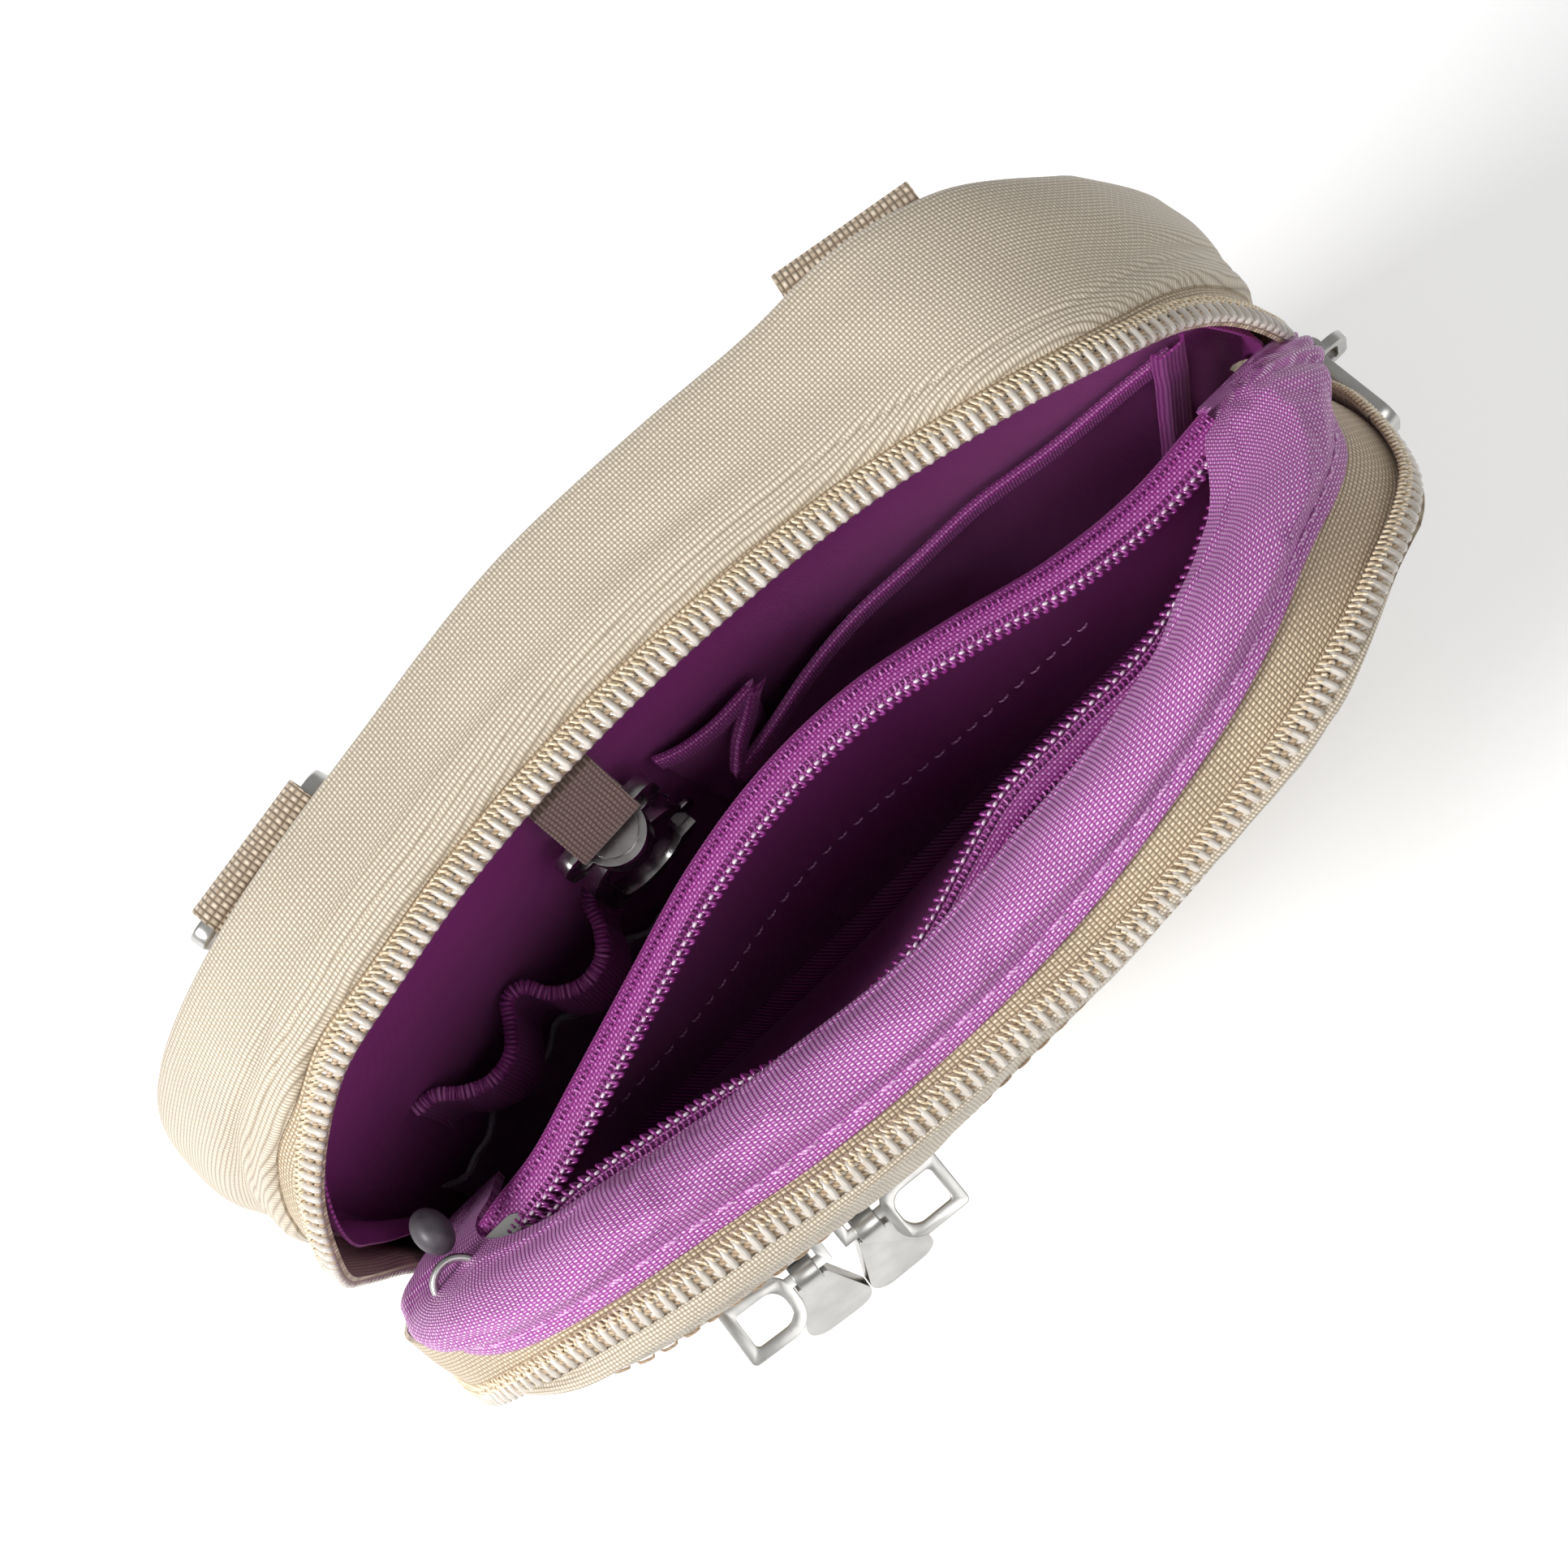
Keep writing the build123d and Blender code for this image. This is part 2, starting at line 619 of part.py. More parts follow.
def pull(frame, opening, side, angle):
    """A cast pull: an eye round the slider's bar and a tab that widens to its end."""
    flat = pull_frame(frame, opening, side, angle)
    eye_end = Plane(flat.origin - flat.x_dir * (eye_length / 2), z_dir=flat.x_dir)
    neck = eye_radius + eye_wall / 2
    corners = ((-pull_neck / 2, neck), (-pull_end / 2, pull_length), (pull_end / 2, pull_length),
               (pull_neck / 2, neck))
    with BuildPart() as tab:
        with BuildSketch(flat.offset(-pull_thick / 2)):
            with BuildLine():
                FilletPolyline(*corners, radius=[0.4, 2.6, 2.6, 0.4], close=True)
            make_face()
        extrude(amount=pull_thick)
        with BuildSketch(eye_end):
            Circle(eye_radius + eye_wall)
        extrude(amount=eye_length)
        with BuildSketch(eye_end.offset(-pull_neck)):
            Circle(eye_radius)
        extrude(amount=eye_length + 2 * pull_neck, mode=Mode.SUBTRACT)
    return tab


# Main slider: parked on the right side wall, nose up, its pull lying back along the side.
stack = coil_high + tape_thick
main_y = arc_y(coil_front_y, bow, back_half_width + coil_proud) - coil_slit / 2
main_frame = Plane(
    (back_half_width + coil_proud - stack / 2, main_y, main_slider_z), x_dir=(0, 0, 1), z_dir=(1, 0, 0))
save("main_slider", slider(main_frame, slot))
save("main_pull", pull(main_frame, slot, 1, main_pull_angle))

# Two sliders meet nose to nose on the pocket zip; their pulls hang over the pocket.
stack_y = inner_front + tape_thick - stack / 2
for name, x, nose in (("left", left_slider_x, 1), ("right", right_slider_x, -1)):
    frame = bowed_frame(front, x, stack_y, -bow, zip_middle, nose)
    save(f"pocket_slider_{name}", slider(frame, slot))
    save(f"pocket_pull_{name}", pull(frame, slot, -nose, pull_angle))

# Inside slider: parked at the closed left end, with a ring and a round-ended tab.
inner_slot = inner_coil + tape_thick + 2 * clearance
inner_frame = Plane(
    front.plan.from_local_coords((inner_slider_x, flat_y, flat_zip_z + (inner_coil + tape_thick) / 2)),
    x_dir=front.plan.x_dir, z_dir=front.plan.z_dir)
save("inner_slider", slider(inner_frame, inner_slot))

inner_bar = inner_frame.origin + inner_frame.x_dir * (lug_end - lug_length / 2)
inner_bar += inner_frame.z_dir * (inner_slot / 2 + slider_plate + lug_height - lug_bar / 2)
drop = inner_frame.y_dir.rotate(Axis((0, 0, 0), inner_frame.x_dir), -inner_tab_angle)
ring_centre = inner_bar + drop * (inner_ring_radius - 2 * ring_wire - bridge_bar / 2)
ring_plane = Plane(ring_centre, x_dir=drop, z_dir=inner_frame.x_dir)
tab_plane = Plane(ring_centre, x_dir=drop, z_dir=inner_frame.x_dir.cross(drop))
with BuildPart() as inner_pull:
    with BuildSketch(tab_plane):
        with Locations((inner_ring_radius, 0)):
            Circle(ring_wire)
    revolve(axis=Axis(ring_centre, ring_plane.z_dir))
    with BuildSketch(tab_plane.offset(-inner_tab_thick / 2)):
        with Locations((inner_ring_radius + inner_tab_length / 2, 0)):
            RectangleRounded(inner_tab_length, inner_tab_width, inner_tab_width / 2 - 0.1)
    extrude(amount=inner_tab_thick)
save("inner_pull", inner_pull)

# ---------------------------------------------------------------- strap tabs and rings
# Webbing sewn to the back panel folds over one bar of a rectangular ring.
ring_hole = ring_bar / 2 * sqrt(2) + clearance
tab_eye = ring_hole + webbing
ring_width = webbing_width + 2 * ring_bar + 4 * clearance
for name, side in (("left", -1), ("right", 1)):
    frame = bowed_frame(back, side * tab_x, back_y, bow, tab_top, 1)
    profile = Plane(frame.origin, x_dir=frame.z_dir, z_dir=frame.x_dir)
    with BuildPart() as tab:
        with BuildSketch(profile):
            with Locations((0, -ring_hole / 2)):
                Rectangle(2 * webbing, tab_length, align=(Align.MIN, Align.MAX))
            with Locations((tab_eye, 0)):
                Circle(tab_eye)
                Circle(ring_hole, mode=Mode.SUBTRACT)
        extrude(amount=webbing_width / 2, both=True)
    save(f"strap_tab_{name}", tab)
    bar_centre = frame.origin + frame.z_dir * tab_eye
    hanging = frame.y_dir.rotate(Axis((0, 0, 0), frame.x_dir), ring_hang)
    ring_face = Plane(bar_centre, x_dir=frame.x_dir, z_dir=frame.x_dir.cross(hanging))
    with BuildPart() as strap_ring:
        with BuildSketch(ring_face):
            with Locations((0, (ring_depth - ring_bar) / 2)):
                RectangleRounded(ring_width, ring_depth, ring_bar)
                RectangleRounded(
                    ring_width - 2 * ring_bar, ring_depth - 2 * ring_bar, 2 * clearance, mode=Mode.SUBTRACT)
        extrude(amount=ring_bar / 2, both=True)
    save(f"strap_ring_{name}", strap_ring)

# ---------------------------------------------------------------- key tape and snap hook
wall = bowed_frame(back, hook_x, lining_face, bow, 0, 1)
upright = Plane(wall.origin, x_dir=wall.z_dir, z_dir=wall.x_dir)
loop_hole = hook_wire / 2 * sqrt(2) + clearance / 3
with BuildPart() as key_tape:
    with BuildSketch(upright):
        with Locations((-clearance / 3, key_tape_low - loop_hole / 2)):
            Rectangle(
                2 * key_tape_thick, bag_height - 2 * nylon - key_tape_low, align=(Align.MAX, Align.MIN))
        with Locations((-hook_off, key_tape_low)):
            Circle(loop_hole + key_tape_thick)
        with Locations((-(hook_off + key_tape_thick) / 2, key_tape_low + loop_hole + key_tape_thick / 2)):
            Rectangle(hook_off, key_tape_thick)
        with Locations((-hook_off, key_tape_low)):
            Circle(loop_hole, mode=Mode.SUBTRACT)
    extrude(amount=key_tape_width / 2, both=True)
save("key_tape", key_tape)

# Swivel loop: a rectangular eye on the tape, with a collar that the hook's stud turns in.
axis_point = wall.origin - wall.z_dir * hook_off
flat_view = Plane(axis_point, x_dir=wall.x_dir, z_dir=-wall.z_dir)
loop_top = key_tape_low + hook_wire / 2
loop_bottom = loop_top - hook_loop_height
collar_top = loop_bottom + hook_wire
collar_low = collar_top - collar_height - hook_wire
with BuildPart() as hook_loop:
    with BuildSketch(flat_view):
        with Locations((0, loop_top - hook_loop_height / 2)):
            RectangleRounded(hook_loop_width, hook_loop_height, 2.4)
            RectangleRounded(hook_loop_width - 2 * hook_wire, hook_loop_height - 2 * hook_wire, 1.0,
                             mode=Mode.SUBTRACT)
    extrude(amount=hook_wire / 2, both=True)
    with BuildSketch(Plane(axis_point).offset(collar_low)):
        Circle(collar_radius)
    extrude(amount=collar_top - collar_low)
    with BuildSketch(Plane(axis_point).offset(collar_low)):
        Circle(stud_radius + stud_room)
    extrude(amount=collar_top - collar_low, mode=Mode.SUBTRACT)
save("hook_loop", hook_loop)

# Hook: stud and head above, a neck and a long open loop below; the gate closes its side.
neck_top = collar_low - clearance
neck_low = neck_top - hook_neck
head_low = collar_top + clearance / 3
hook_top = neck_low + hook_sunk
hook_mid = hook_top - hook_length / 2
gate_top = hook_mid + gate_above
gate_low = hook_mid - gate_below
gate_x = hook_outer - hook_bar / 2
pivot_z = gate_top + pivot_rise
running = clearance / 3
with BuildPart() as hook_body:
    for low, high, radius in (
        (neck_low, neck_top, collar_radius - clearance),
        (neck_top, head_low, stud_radius),
        (head_low, head_low + stud_head_thick, stud_head_radius),
    ):
        with BuildSketch(Plane(axis_point).offset(low)):
            Circle(radius)
        extrude(amount=high - low)
    with BuildSketch(flat_view):
        with Locations((0, hook_mid)):
            RectangleRounded(2 * hook_outer, hook_length, hook_outer - running)
            RectangleRounded(2 * (hook_outer - hook_bar), hook_length - 2 * hook_bar,
                             hook_outer - hook_bar - running, mode=Mode.SUBTRACT)
        with Locations((gate_x, (gate_top + gate_low) / 2)):
            Rectangle(2 * hook_bar, gate_top - gate_low, mode=Mode.SUBTRACT)
    extrude(amount=hook_thick / 2, both=True)
    with BuildSketch(flat_view):
        with Locations((gate_x, gate_top)):
            Rectangle(2 * hook_bar, gate_slot_height)
    extrude(amount=gate_slot / 2, both=True, mode=Mode.SUBTRACT)
    with BuildSketch(flat_view):
        with Locations((gate_x, pivot_z)):
            Circle(gate_pin_radius)
    extrude(amount=hook_thick, both=True, mode=Mode.SUBTRACT)
save("hook_body", hook_body)

with BuildPart() as gate_pin:
    with BuildSketch(flat_view):
        with Locations((gate_x, pivot_z)):
            Circle(gate_pin_radius)
    extrude(amount=hook_thick / 2, both=True)
save("gate_pin", gate_pin)

with BuildPart() as hook_gate:
    with BuildSketch(flat_view.offset(running - gate_slot / 2)):
        with Locations((gate_x, pivot_z)):
            Circle(hook_bar / 2 - running)
        with Locations((gate_x, pivot_z)):
            Rectangle(
                hook_bar - 2 * clearance, pivot_z - gate_low - clearance, align=(Align.CENTER, Align.MAX))
        with Locations((gate_x + hook_bar / 2, gate_low + thumb_height)):
            RectangleRounded(thumb_width, thumb_height, stud_head_thick)
        with Locations((gate_x, pivot_z)):
            Circle(gate_pin_radius + stud_room, mode=Mode.SUBTRACT)
    extrude(amount=gate_thick)
save("hook_gate", hook_gate)

with BuildPart() as gate_spring:
    with BuildSketch(flat_view.offset(gate_thick + 2 * running - gate_slot / 2)):
        with Locations((gate_x, pivot_z)):
            Circle(gate_pin_radius + spring_wall)
            Circle(gate_pin_radius + stud_room, mode=Mode.SUBTRACT)
    extrude(amount=spring_thick)
save("gate_spring", gate_spring)
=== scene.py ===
"""A small travel pouch, standing with its mouth open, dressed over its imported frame."""

import json
import math

import bpy
import numpy as np
from mathutils import Matrix, Vector

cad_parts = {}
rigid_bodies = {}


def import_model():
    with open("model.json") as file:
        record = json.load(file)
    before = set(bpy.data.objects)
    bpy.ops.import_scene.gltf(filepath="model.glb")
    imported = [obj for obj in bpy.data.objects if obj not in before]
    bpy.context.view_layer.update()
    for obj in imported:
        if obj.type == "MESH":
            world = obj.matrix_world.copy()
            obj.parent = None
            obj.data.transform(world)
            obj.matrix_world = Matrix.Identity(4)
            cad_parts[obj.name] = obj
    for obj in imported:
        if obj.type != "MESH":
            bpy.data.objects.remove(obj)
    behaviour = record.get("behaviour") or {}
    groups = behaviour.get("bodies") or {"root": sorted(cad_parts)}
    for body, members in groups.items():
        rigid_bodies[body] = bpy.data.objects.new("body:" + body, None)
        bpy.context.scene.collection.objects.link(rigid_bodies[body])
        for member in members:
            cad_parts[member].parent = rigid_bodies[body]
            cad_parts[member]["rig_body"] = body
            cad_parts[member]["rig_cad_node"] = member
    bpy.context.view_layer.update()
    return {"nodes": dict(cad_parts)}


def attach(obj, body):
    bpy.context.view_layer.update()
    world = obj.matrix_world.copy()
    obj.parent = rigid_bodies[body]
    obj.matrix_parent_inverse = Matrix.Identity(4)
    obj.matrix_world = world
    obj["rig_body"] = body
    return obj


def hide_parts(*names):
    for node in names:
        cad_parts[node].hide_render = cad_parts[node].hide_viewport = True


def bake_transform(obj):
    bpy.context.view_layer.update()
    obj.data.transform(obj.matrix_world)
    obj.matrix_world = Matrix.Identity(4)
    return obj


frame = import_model()
bpy.ops.object.select_all(action="DESELECT")

# The camera looks almost straight down from the front, turned so that the pouch lies
# across the picture from the lower left to the upper right.
camera_turn = math.radians(44.2)
camera_height = math.radians(78.0)
camera_distance = 0.516
camera_target = Vector((0.0, -0.0085, 0.145))
picture_offset = (-0.0025, 0.00154)

camera_back = Vector((0.0, -math.cos(camera_height), math.sin(camera_height)))
level_right = Vector((1.0, 0.0, 0.0))
level_up = level_right.cross(-camera_back)
camera_right = level_right * math.cos(camera_turn) - level_up * math.sin(camera_turn)
camera_up = level_up * math.cos(camera_turn) + level_right * math.sin(camera_turn)
camera_place = camera_target + camera_back * camera_distance
camera_place -= camera_right * picture_offset[0] + camera_up * picture_offset[1]
lens = bpy.data.cameras.new("camera")
lens.lens = 100.0
lens.sensor_width = 36.0
lens.clip_start = 0.01
camera = bpy.data.objects.new("camera", lens)
bpy.context.scene.collection.objects.link(camera)
turn = Matrix((camera_right, camera_up, camera_back)).transposed().to_4x4()
camera.matrix_world = Matrix.Translation(camera_place) @ turn
bpy.context.scene.camera = camera
bpy.context.scene.view_settings.view_transform = "Standard"

# A pale sweep to stand on. Its shadow stays soft and grey, and the paper glows a little
# wherever it is seen, so that the far floor is white.
FLOOR_SIZE = 6.0
FLOOR_DROP = 0.0004
PAPER_GLOW = 0.22
bpy.ops.mesh.primitive_plane_add(size=FLOOR_SIZE, location=(0.0, 0.0, -FLOOR_DROP))
floor = bpy.context.object
floor.name = "floor"


def empty_material(name):
    """A material, its node tree and its Principled shader."""
    material = bpy.data.materials.new(name)
    material.use_nodes = True
    return material, material.node_tree, material.node_tree.nodes["Principled BSDF"]


def connect(node, inputs):
    """Sets a node's inputs: each is a value, or another node's output to join to it."""
    for name, value in inputs.items():
        if isinstance(value, bpy.types.NodeSocket):
            node.id_data.links.new(value, node.inputs[name])
        else:
            node.inputs[name].default_value = value
    return node


def add_node(tree, kind, inputs, operation=None):
    """A node of the given kind and operation, with its inputs set."""
    node = tree.nodes.new("ShaderNode" + kind)
    if operation:
        node.operation = operation
    return connect(node, inputs)


def reckon(tree, operation, *values):
    """The result of a maths node on values or on other nodes' outputs."""
    return add_node(tree, "Math", dict(enumerate(values)), operation).outputs[0]


paper, tree, shader = empty_material("pale_paper")
connect(shader, {"Base Color": (0.92, 0.92, 0.92, 1.0), "Roughness": 0.9, "Specular IOR Level": 0.1})
rays = add_node(tree, "LightPath", {}).outputs
seen = reckon(tree, "ADD", rays["Is Camera Ray"], rays["Is Glossy Ray"])
seen = reckon(tree, "ADD", seen, rays["Is Transmission Ray"])
seen.node.use_clamp = True
strength = reckon(tree, "MULTIPLY", seen, PAPER_GLOW)
glow = add_node(tree, "Emission", {"Color": (1.0, 1.0, 1.0, 1.0), "Strength": strength})
both = add_node(tree, "AddShader", {0: shader.outputs[0], 1: glow.outputs[0]})
connect(tree.nodes["Material Output"], {"Surface": both.outputs[0]})
floor.data.materials.append(paper)

# Studio light: a broad soft lamp from the left, a weaker one over the front, and a pale
# room all round that fills the shadows.
def soft_lamp(name, place, aim, size, power):
    lamp = bpy.data.lights.new(name, "AREA")
    lamp.shape = "DISK"
    lamp.size = size
    lamp.energy = power
    holder = bpy.data.objects.new(name, lamp)
    bpy.context.scene.collection.objects.link(holder)
    direction = Vector(place) - Vector(aim)
    turned = direction.to_track_quat("Z", "Y").to_matrix().to_4x4()
    holder.matrix_world = Matrix.Translation(place) @ turned


soft_lamp("main_lamp", (-0.90, 0.05, 0.90), (0.0, 0.0, 0.08), 0.45, 15.5)
soft_lamp("fill_lamp", (0.1, -0.7, 1.1), (0.0, 0.0, 0.1), 0.8, 4.0)
world = bpy.data.worlds.new("pale_room")
bpy.context.scene.world = world
world.use_nodes = True
room = world.node_tree.nodes["Background"]
room.inputs["Color"].default_value = (1.0, 1.0, 1.0, 1.0)
room.inputs["Strength"].default_value = 0.42

# The back panel: coated nylon over foam, bowed between the side seams and turned in all
# round where it is sewn to the gusset. Everything below is drawn in millimetres.
MM = 0.001
BACK_HALF = 85.0
FRONT_HALF = 81.5
HIGH = 150.0
TOP_ROUND = 38.0
FOOT_ROUND = 14.0
BOW_RADIUS = 307.04
BACK_Y = 30.0
FRONT_Y = -30.0


def bowed(x):
    """How far a panel falls back from its middle at x."""
    return BOW_RADIUS - np.sqrt(BOW_RADIUS**2 - np.square(x))


def inside(x, z, half):
    """Distance in from the edge of a half's outline."""
    corner = np.where(z > HIGH / 2, TOP_ROUND, FOOT_ROUND)
    across = np.abs(x) - (half - corner)
    up = np.abs(z - HIGH / 2) - (HIGH / 2 - corner)
    straight = np.minimum(half - np.abs(x), HIGH / 2 - np.abs(z - HIGH / 2))
    return np.where((across > 0) & (up > 0), corner - np.hypot(across, up), straight)


def ease(value, low, high):
    """Rises smoothly from 0 to 1 between low and high."""
    t = np.clip((np.asarray(value, float) - low) / (high - low), 0.0, 1.0)
    return t * t * (3.0 - 2.0 * t)


def read_at(table, at):
    """A smooth line through (place, value) pairs, read at the given places."""
    spots = np.array([row[0] for row in table], float)
    values = np.array([row[1:] for row in table], float)
    slope = np.gradient(values, spots, axis=0)
    at = np.clip(np.asarray(at, float), spots[0], spots[-1])
    i = np.clip(np.searchsorted(spots, at, side="right") - 1, 0, len(spots) - 2)
    step = (spots[i + 1] - spots[i])[..., None]
    w = (at - spots[i])[..., None] / step
    found = (2 * w - 3) * w * w * (values[i] - values[i + 1]) + values[i]
    found = found + step * w * (w - 1) * ((w - 1) * slope[i] + w * slope[i + 1])
    return found[..., 0] if values.shape[1] == 1 else found


def run_along(points):
    """How far along a line each of its points lies."""
    return np.concatenate(([0.0], np.cumsum(np.linalg.norm(np.diff(points, axis=0), axis=1))))


def points_at(points, reach, at):
    """Places at the given distances along a line whose points lie at reach."""
    return np.column_stack([np.interp(at, reach, points[:, k]) for k in range(3)])


def smooth_line(points, count):
    """That many evenly spaced points on a smooth line through the given ones."""
    points = np.asarray(points, float)
    reach = run_along(points)
    fine = read_at(np.column_stack((reach, points)), np.linspace(0, reach[-1], 16 * len(points)))
    along = run_along(fine)
    return points_at(fine, along, np.linspace(0, along[-1], count))


def lofted(lines, across):
    """A grid that runs smoothly through lines of equally many points."""
    lines = np.asarray(lines, float)
    gaps = np.linalg.norm(np.diff(lines, axis=0), axis=2).mean(axis=1)
    reach = np.concatenate(([0.0], np.cumsum(np.maximum(gaps, 0.01))))
    even = np.linspace(0, reach[-1], across)
    count = lines.shape[1]
    columns = [read_at(np.column_stack((reach, lines[:, k])), even) for k in range(count)]
    return np.stack(columns, axis=1)


def finish_mesh(piece, name, material, body=None, replaced=()):
    """Names a piece and says what it is made of, moves with and stands for."""
    piece.name = name
    piece.data.name = name
    piece.data.materials.clear()
    piece.data.materials.append(material)
    if body:
        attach(piece, body)
    if replaced:
        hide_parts(*replaced)
    piece.select_set(False)
    return piece


FLOOR_CLEAR = 0.0001


def cut_cloth(grid, thick, side=-1.0):
    """A cloth piece from a grid of places, with its own flat lengths as UV in millimetres.
    Side -1 puts its thickness behind the grid's face, 1 before it and 0 on both sides. Its
    foot is pressed level where it would reach below the floor."""
    rows, columns = grid.shape[:2]
    bpy.ops.object.select_all(action="DESELECT")
    bpy.ops.mesh.primitive_grid_add(x_subdivisions=columns - 1, y_subdivisions=rows - 1, size=1)
    piece = bpy.context.object
    mesh = piece.data
    mesh.vertices.foreach_set("co", (grid * MM).astype(np.float32).ravel())
    wide = np.linalg.norm(np.diff(grid, axis=1), axis=2)
    tall = np.linalg.norm(np.diff(grid, axis=0), axis=2)
    u = np.pad(np.cumsum(wide, axis=1), ((0, 0), (1, 0)))
    v = np.pad(np.cumsum(tall, axis=0), ((1, 0), (0, 0)))
    u -= u[:, columns // 2][:, None]
    corner = np.zeros(len(mesh.loops), np.int32)
    mesh.loops.foreach_get("vertex_index", corner)
    uv = np.column_stack((u.ravel()[corner], v.ravel()[corner])).astype(np.float32)
    mesh.uv_layers.active.data.foreach_set("uv", uv.ravel())
    mesh.update()
    wall = piece.modifiers.new("thickness", "SOLIDIFY")
    wall.thickness = thick * MM
    wall.offset = side
    wall.use_even_offset = True
    wall.use_quality_normals = True
    bpy.ops.object.modifier_apply(modifier=wall.name)
    places = np.zeros(len(mesh.vertices) * 3, np.float32)
    mesh.vertices.foreach_get("co", places)
    places[2::3] = np.maximum(places[2::3], FLOOR_CLEAR)
    mesh.vertices.foreach_set("co", places)
    bpy.ops.object.shade_smooth_by_angle(angle=math.radians(50))
    return piece


CLOTH_SLACK = 0.015
FILLING_PRESSURE = 4.0
FILLING_FRAMES = 20


def fill_out(piece, held, most):
    """Lets the filling press the cloth out for a moment while its seams hold it. The
    first layer of points may move where it isn't held, no further than most."""
    mesh = piece.data
    start = np.zeros(len(mesh.vertices) * 3, np.float32)
    mesh.vertices.foreach_get("co", start)
    start = start.reshape(-1, 3)
    hold = np.ones(len(start), bool)
    hold[:held.size] = held.ravel()
    seams = piece.vertex_groups.new(name="seams")
    seams.add([int(i) for i in np.nonzero(hold)[0]], 1.0, "REPLACE")
    filling = piece.modifiers.new("filling", "CLOTH")
    filling.settings.quality = 5
    filling.settings.mass = 0.002
    filling.settings.use_pressure = True
    filling.settings.uniform_pressure_force = FILLING_PRESSURE
    filling.settings.vertex_group_mass = "seams"
    filling.settings.effector_weights.gravity = 0.0
    filling.settings.tension_stiffness = 8.0
    filling.settings.compression_stiffness = 8.0
    filling.settings.bending_stiffness = 0.05
    filling.settings.shrink_min = -CLOTH_SLACK
    filling.collision_settings.use_collision = False
    filling.point_cache.frame_start = 1
    filling.point_cache.frame_end = FILLING_FRAMES
    for step in range(1, FILLING_FRAMES + 1):
        bpy.context.scene.frame_set(step)
    seen = piece.evaluated_get(bpy.context.evaluated_depsgraph_get()).data
    end = np.zeros(len(mesh.vertices) * 3, np.float32)
    seen.vertices.foreach_get("co", end)
    piece.modifiers.remove(filling)
    piece.vertex_groups.remove(seams)
    bpy.context.scene.frame_set(1)
    moved = np.nan_to_num(end.reshape(-1, 3) - start)
    far = np.linalg.norm(moved, axis=1)
    moved *= (np.tanh(far / (most * MM)) * most * MM / np.maximum(far, 1e-9))[:, None]
    mesh.vertices.foreach_set("co", (start + moved).astype(np.float32).ravel())
    mesh.update()


def weave_pattern():
    """Threads that pass over and under each other: 1 on the upper ones, 0 between them."""
    group = bpy.data.node_groups.new("woven_threads", "ShaderNodeTree")
    for label, way, kind in (("Place", "INPUT", "Vector"), ("Second", "INPUT", "Float"),
                             ("Height", "OUTPUT", "Float")):
        group.interface.new_socket(label, in_out=way, socket_type="NodeSocket" + kind)
    start = group.nodes.new("NodeGroupInput").outputs
    split = add_node(group, "SeparateXYZ", {0: start[0]}).outputs
    waves = [reckon(group, "SINE", reckon(group, "MULTIPLY", split[axis], math.pi))
             for axis in (0, 1)]
    crossed = reckon(group, "MULTIPLY", *waves)
    over = reckon(group, "MAXIMUM", crossed, 0.0)
    under = reckon(group, "MULTIPLY", crossed, reckon(group, "MULTIPLY", start[1], -1.0))
    rounded = reckon(group, "POWER", reckon(group, "MAXIMUM", over, under), 0.6)
    connect(group.nodes.new("NodeGroupOutput"), {0: rounded})
    return group


woven_threads = weave_pattern()


def noise(tree, place, scale, detail=2.0):
    """The outputs of a cloudy noise."""
    return add_node(tree, "TexNoise", {"Vector": place, "Scale": scale, "Detail": detail}).outputs


def ranged(tree, value, low, high, start=0.0, end=1.0):
    """A value that runs from start to end, brought to run from low to high."""
    inputs = {"Value": value, "From Min": start, "From Max": end, "To Min": low, "To Max": high}
    return add_node(tree, "MapRange", inputs).outputs[0]


def coloured(tree, shader, value, stops, level=None):
    """Colours a shader by a ramp of (place, colour) stops, brighter where level is high."""
    ramp = add_node(tree, "ValToRGB", {0: value})
    edge = ramp.color_ramp.elements
    edge[0].position, edge[0].color = stops[0][0], (*stops[0][1], 1.0)
    edge[1].position, edge[1].color = stops[-1][0], (*stops[-1][1], 1.0)
    for place, colour in stops[1:-1]:
        edge.new(place).color = (*colour, 1.0)
    colour = ramp.outputs["Color"]
    if level is not None:
        colour = add_node(tree, "VectorMath", {0: colour, "Scale": level}, "SCALE").outputs[0]
    connect(shader, {"Base Color": colour})


def raised(tree, shader, height, strength, depth):
    """Fine relief on a shader, its depth in millimetres."""
    bump = add_node(tree, "Bump", {"Height": height, "Strength": strength, "Distance": depth * MM})
    connect(shader, {"Normal": bump.outputs[0]})


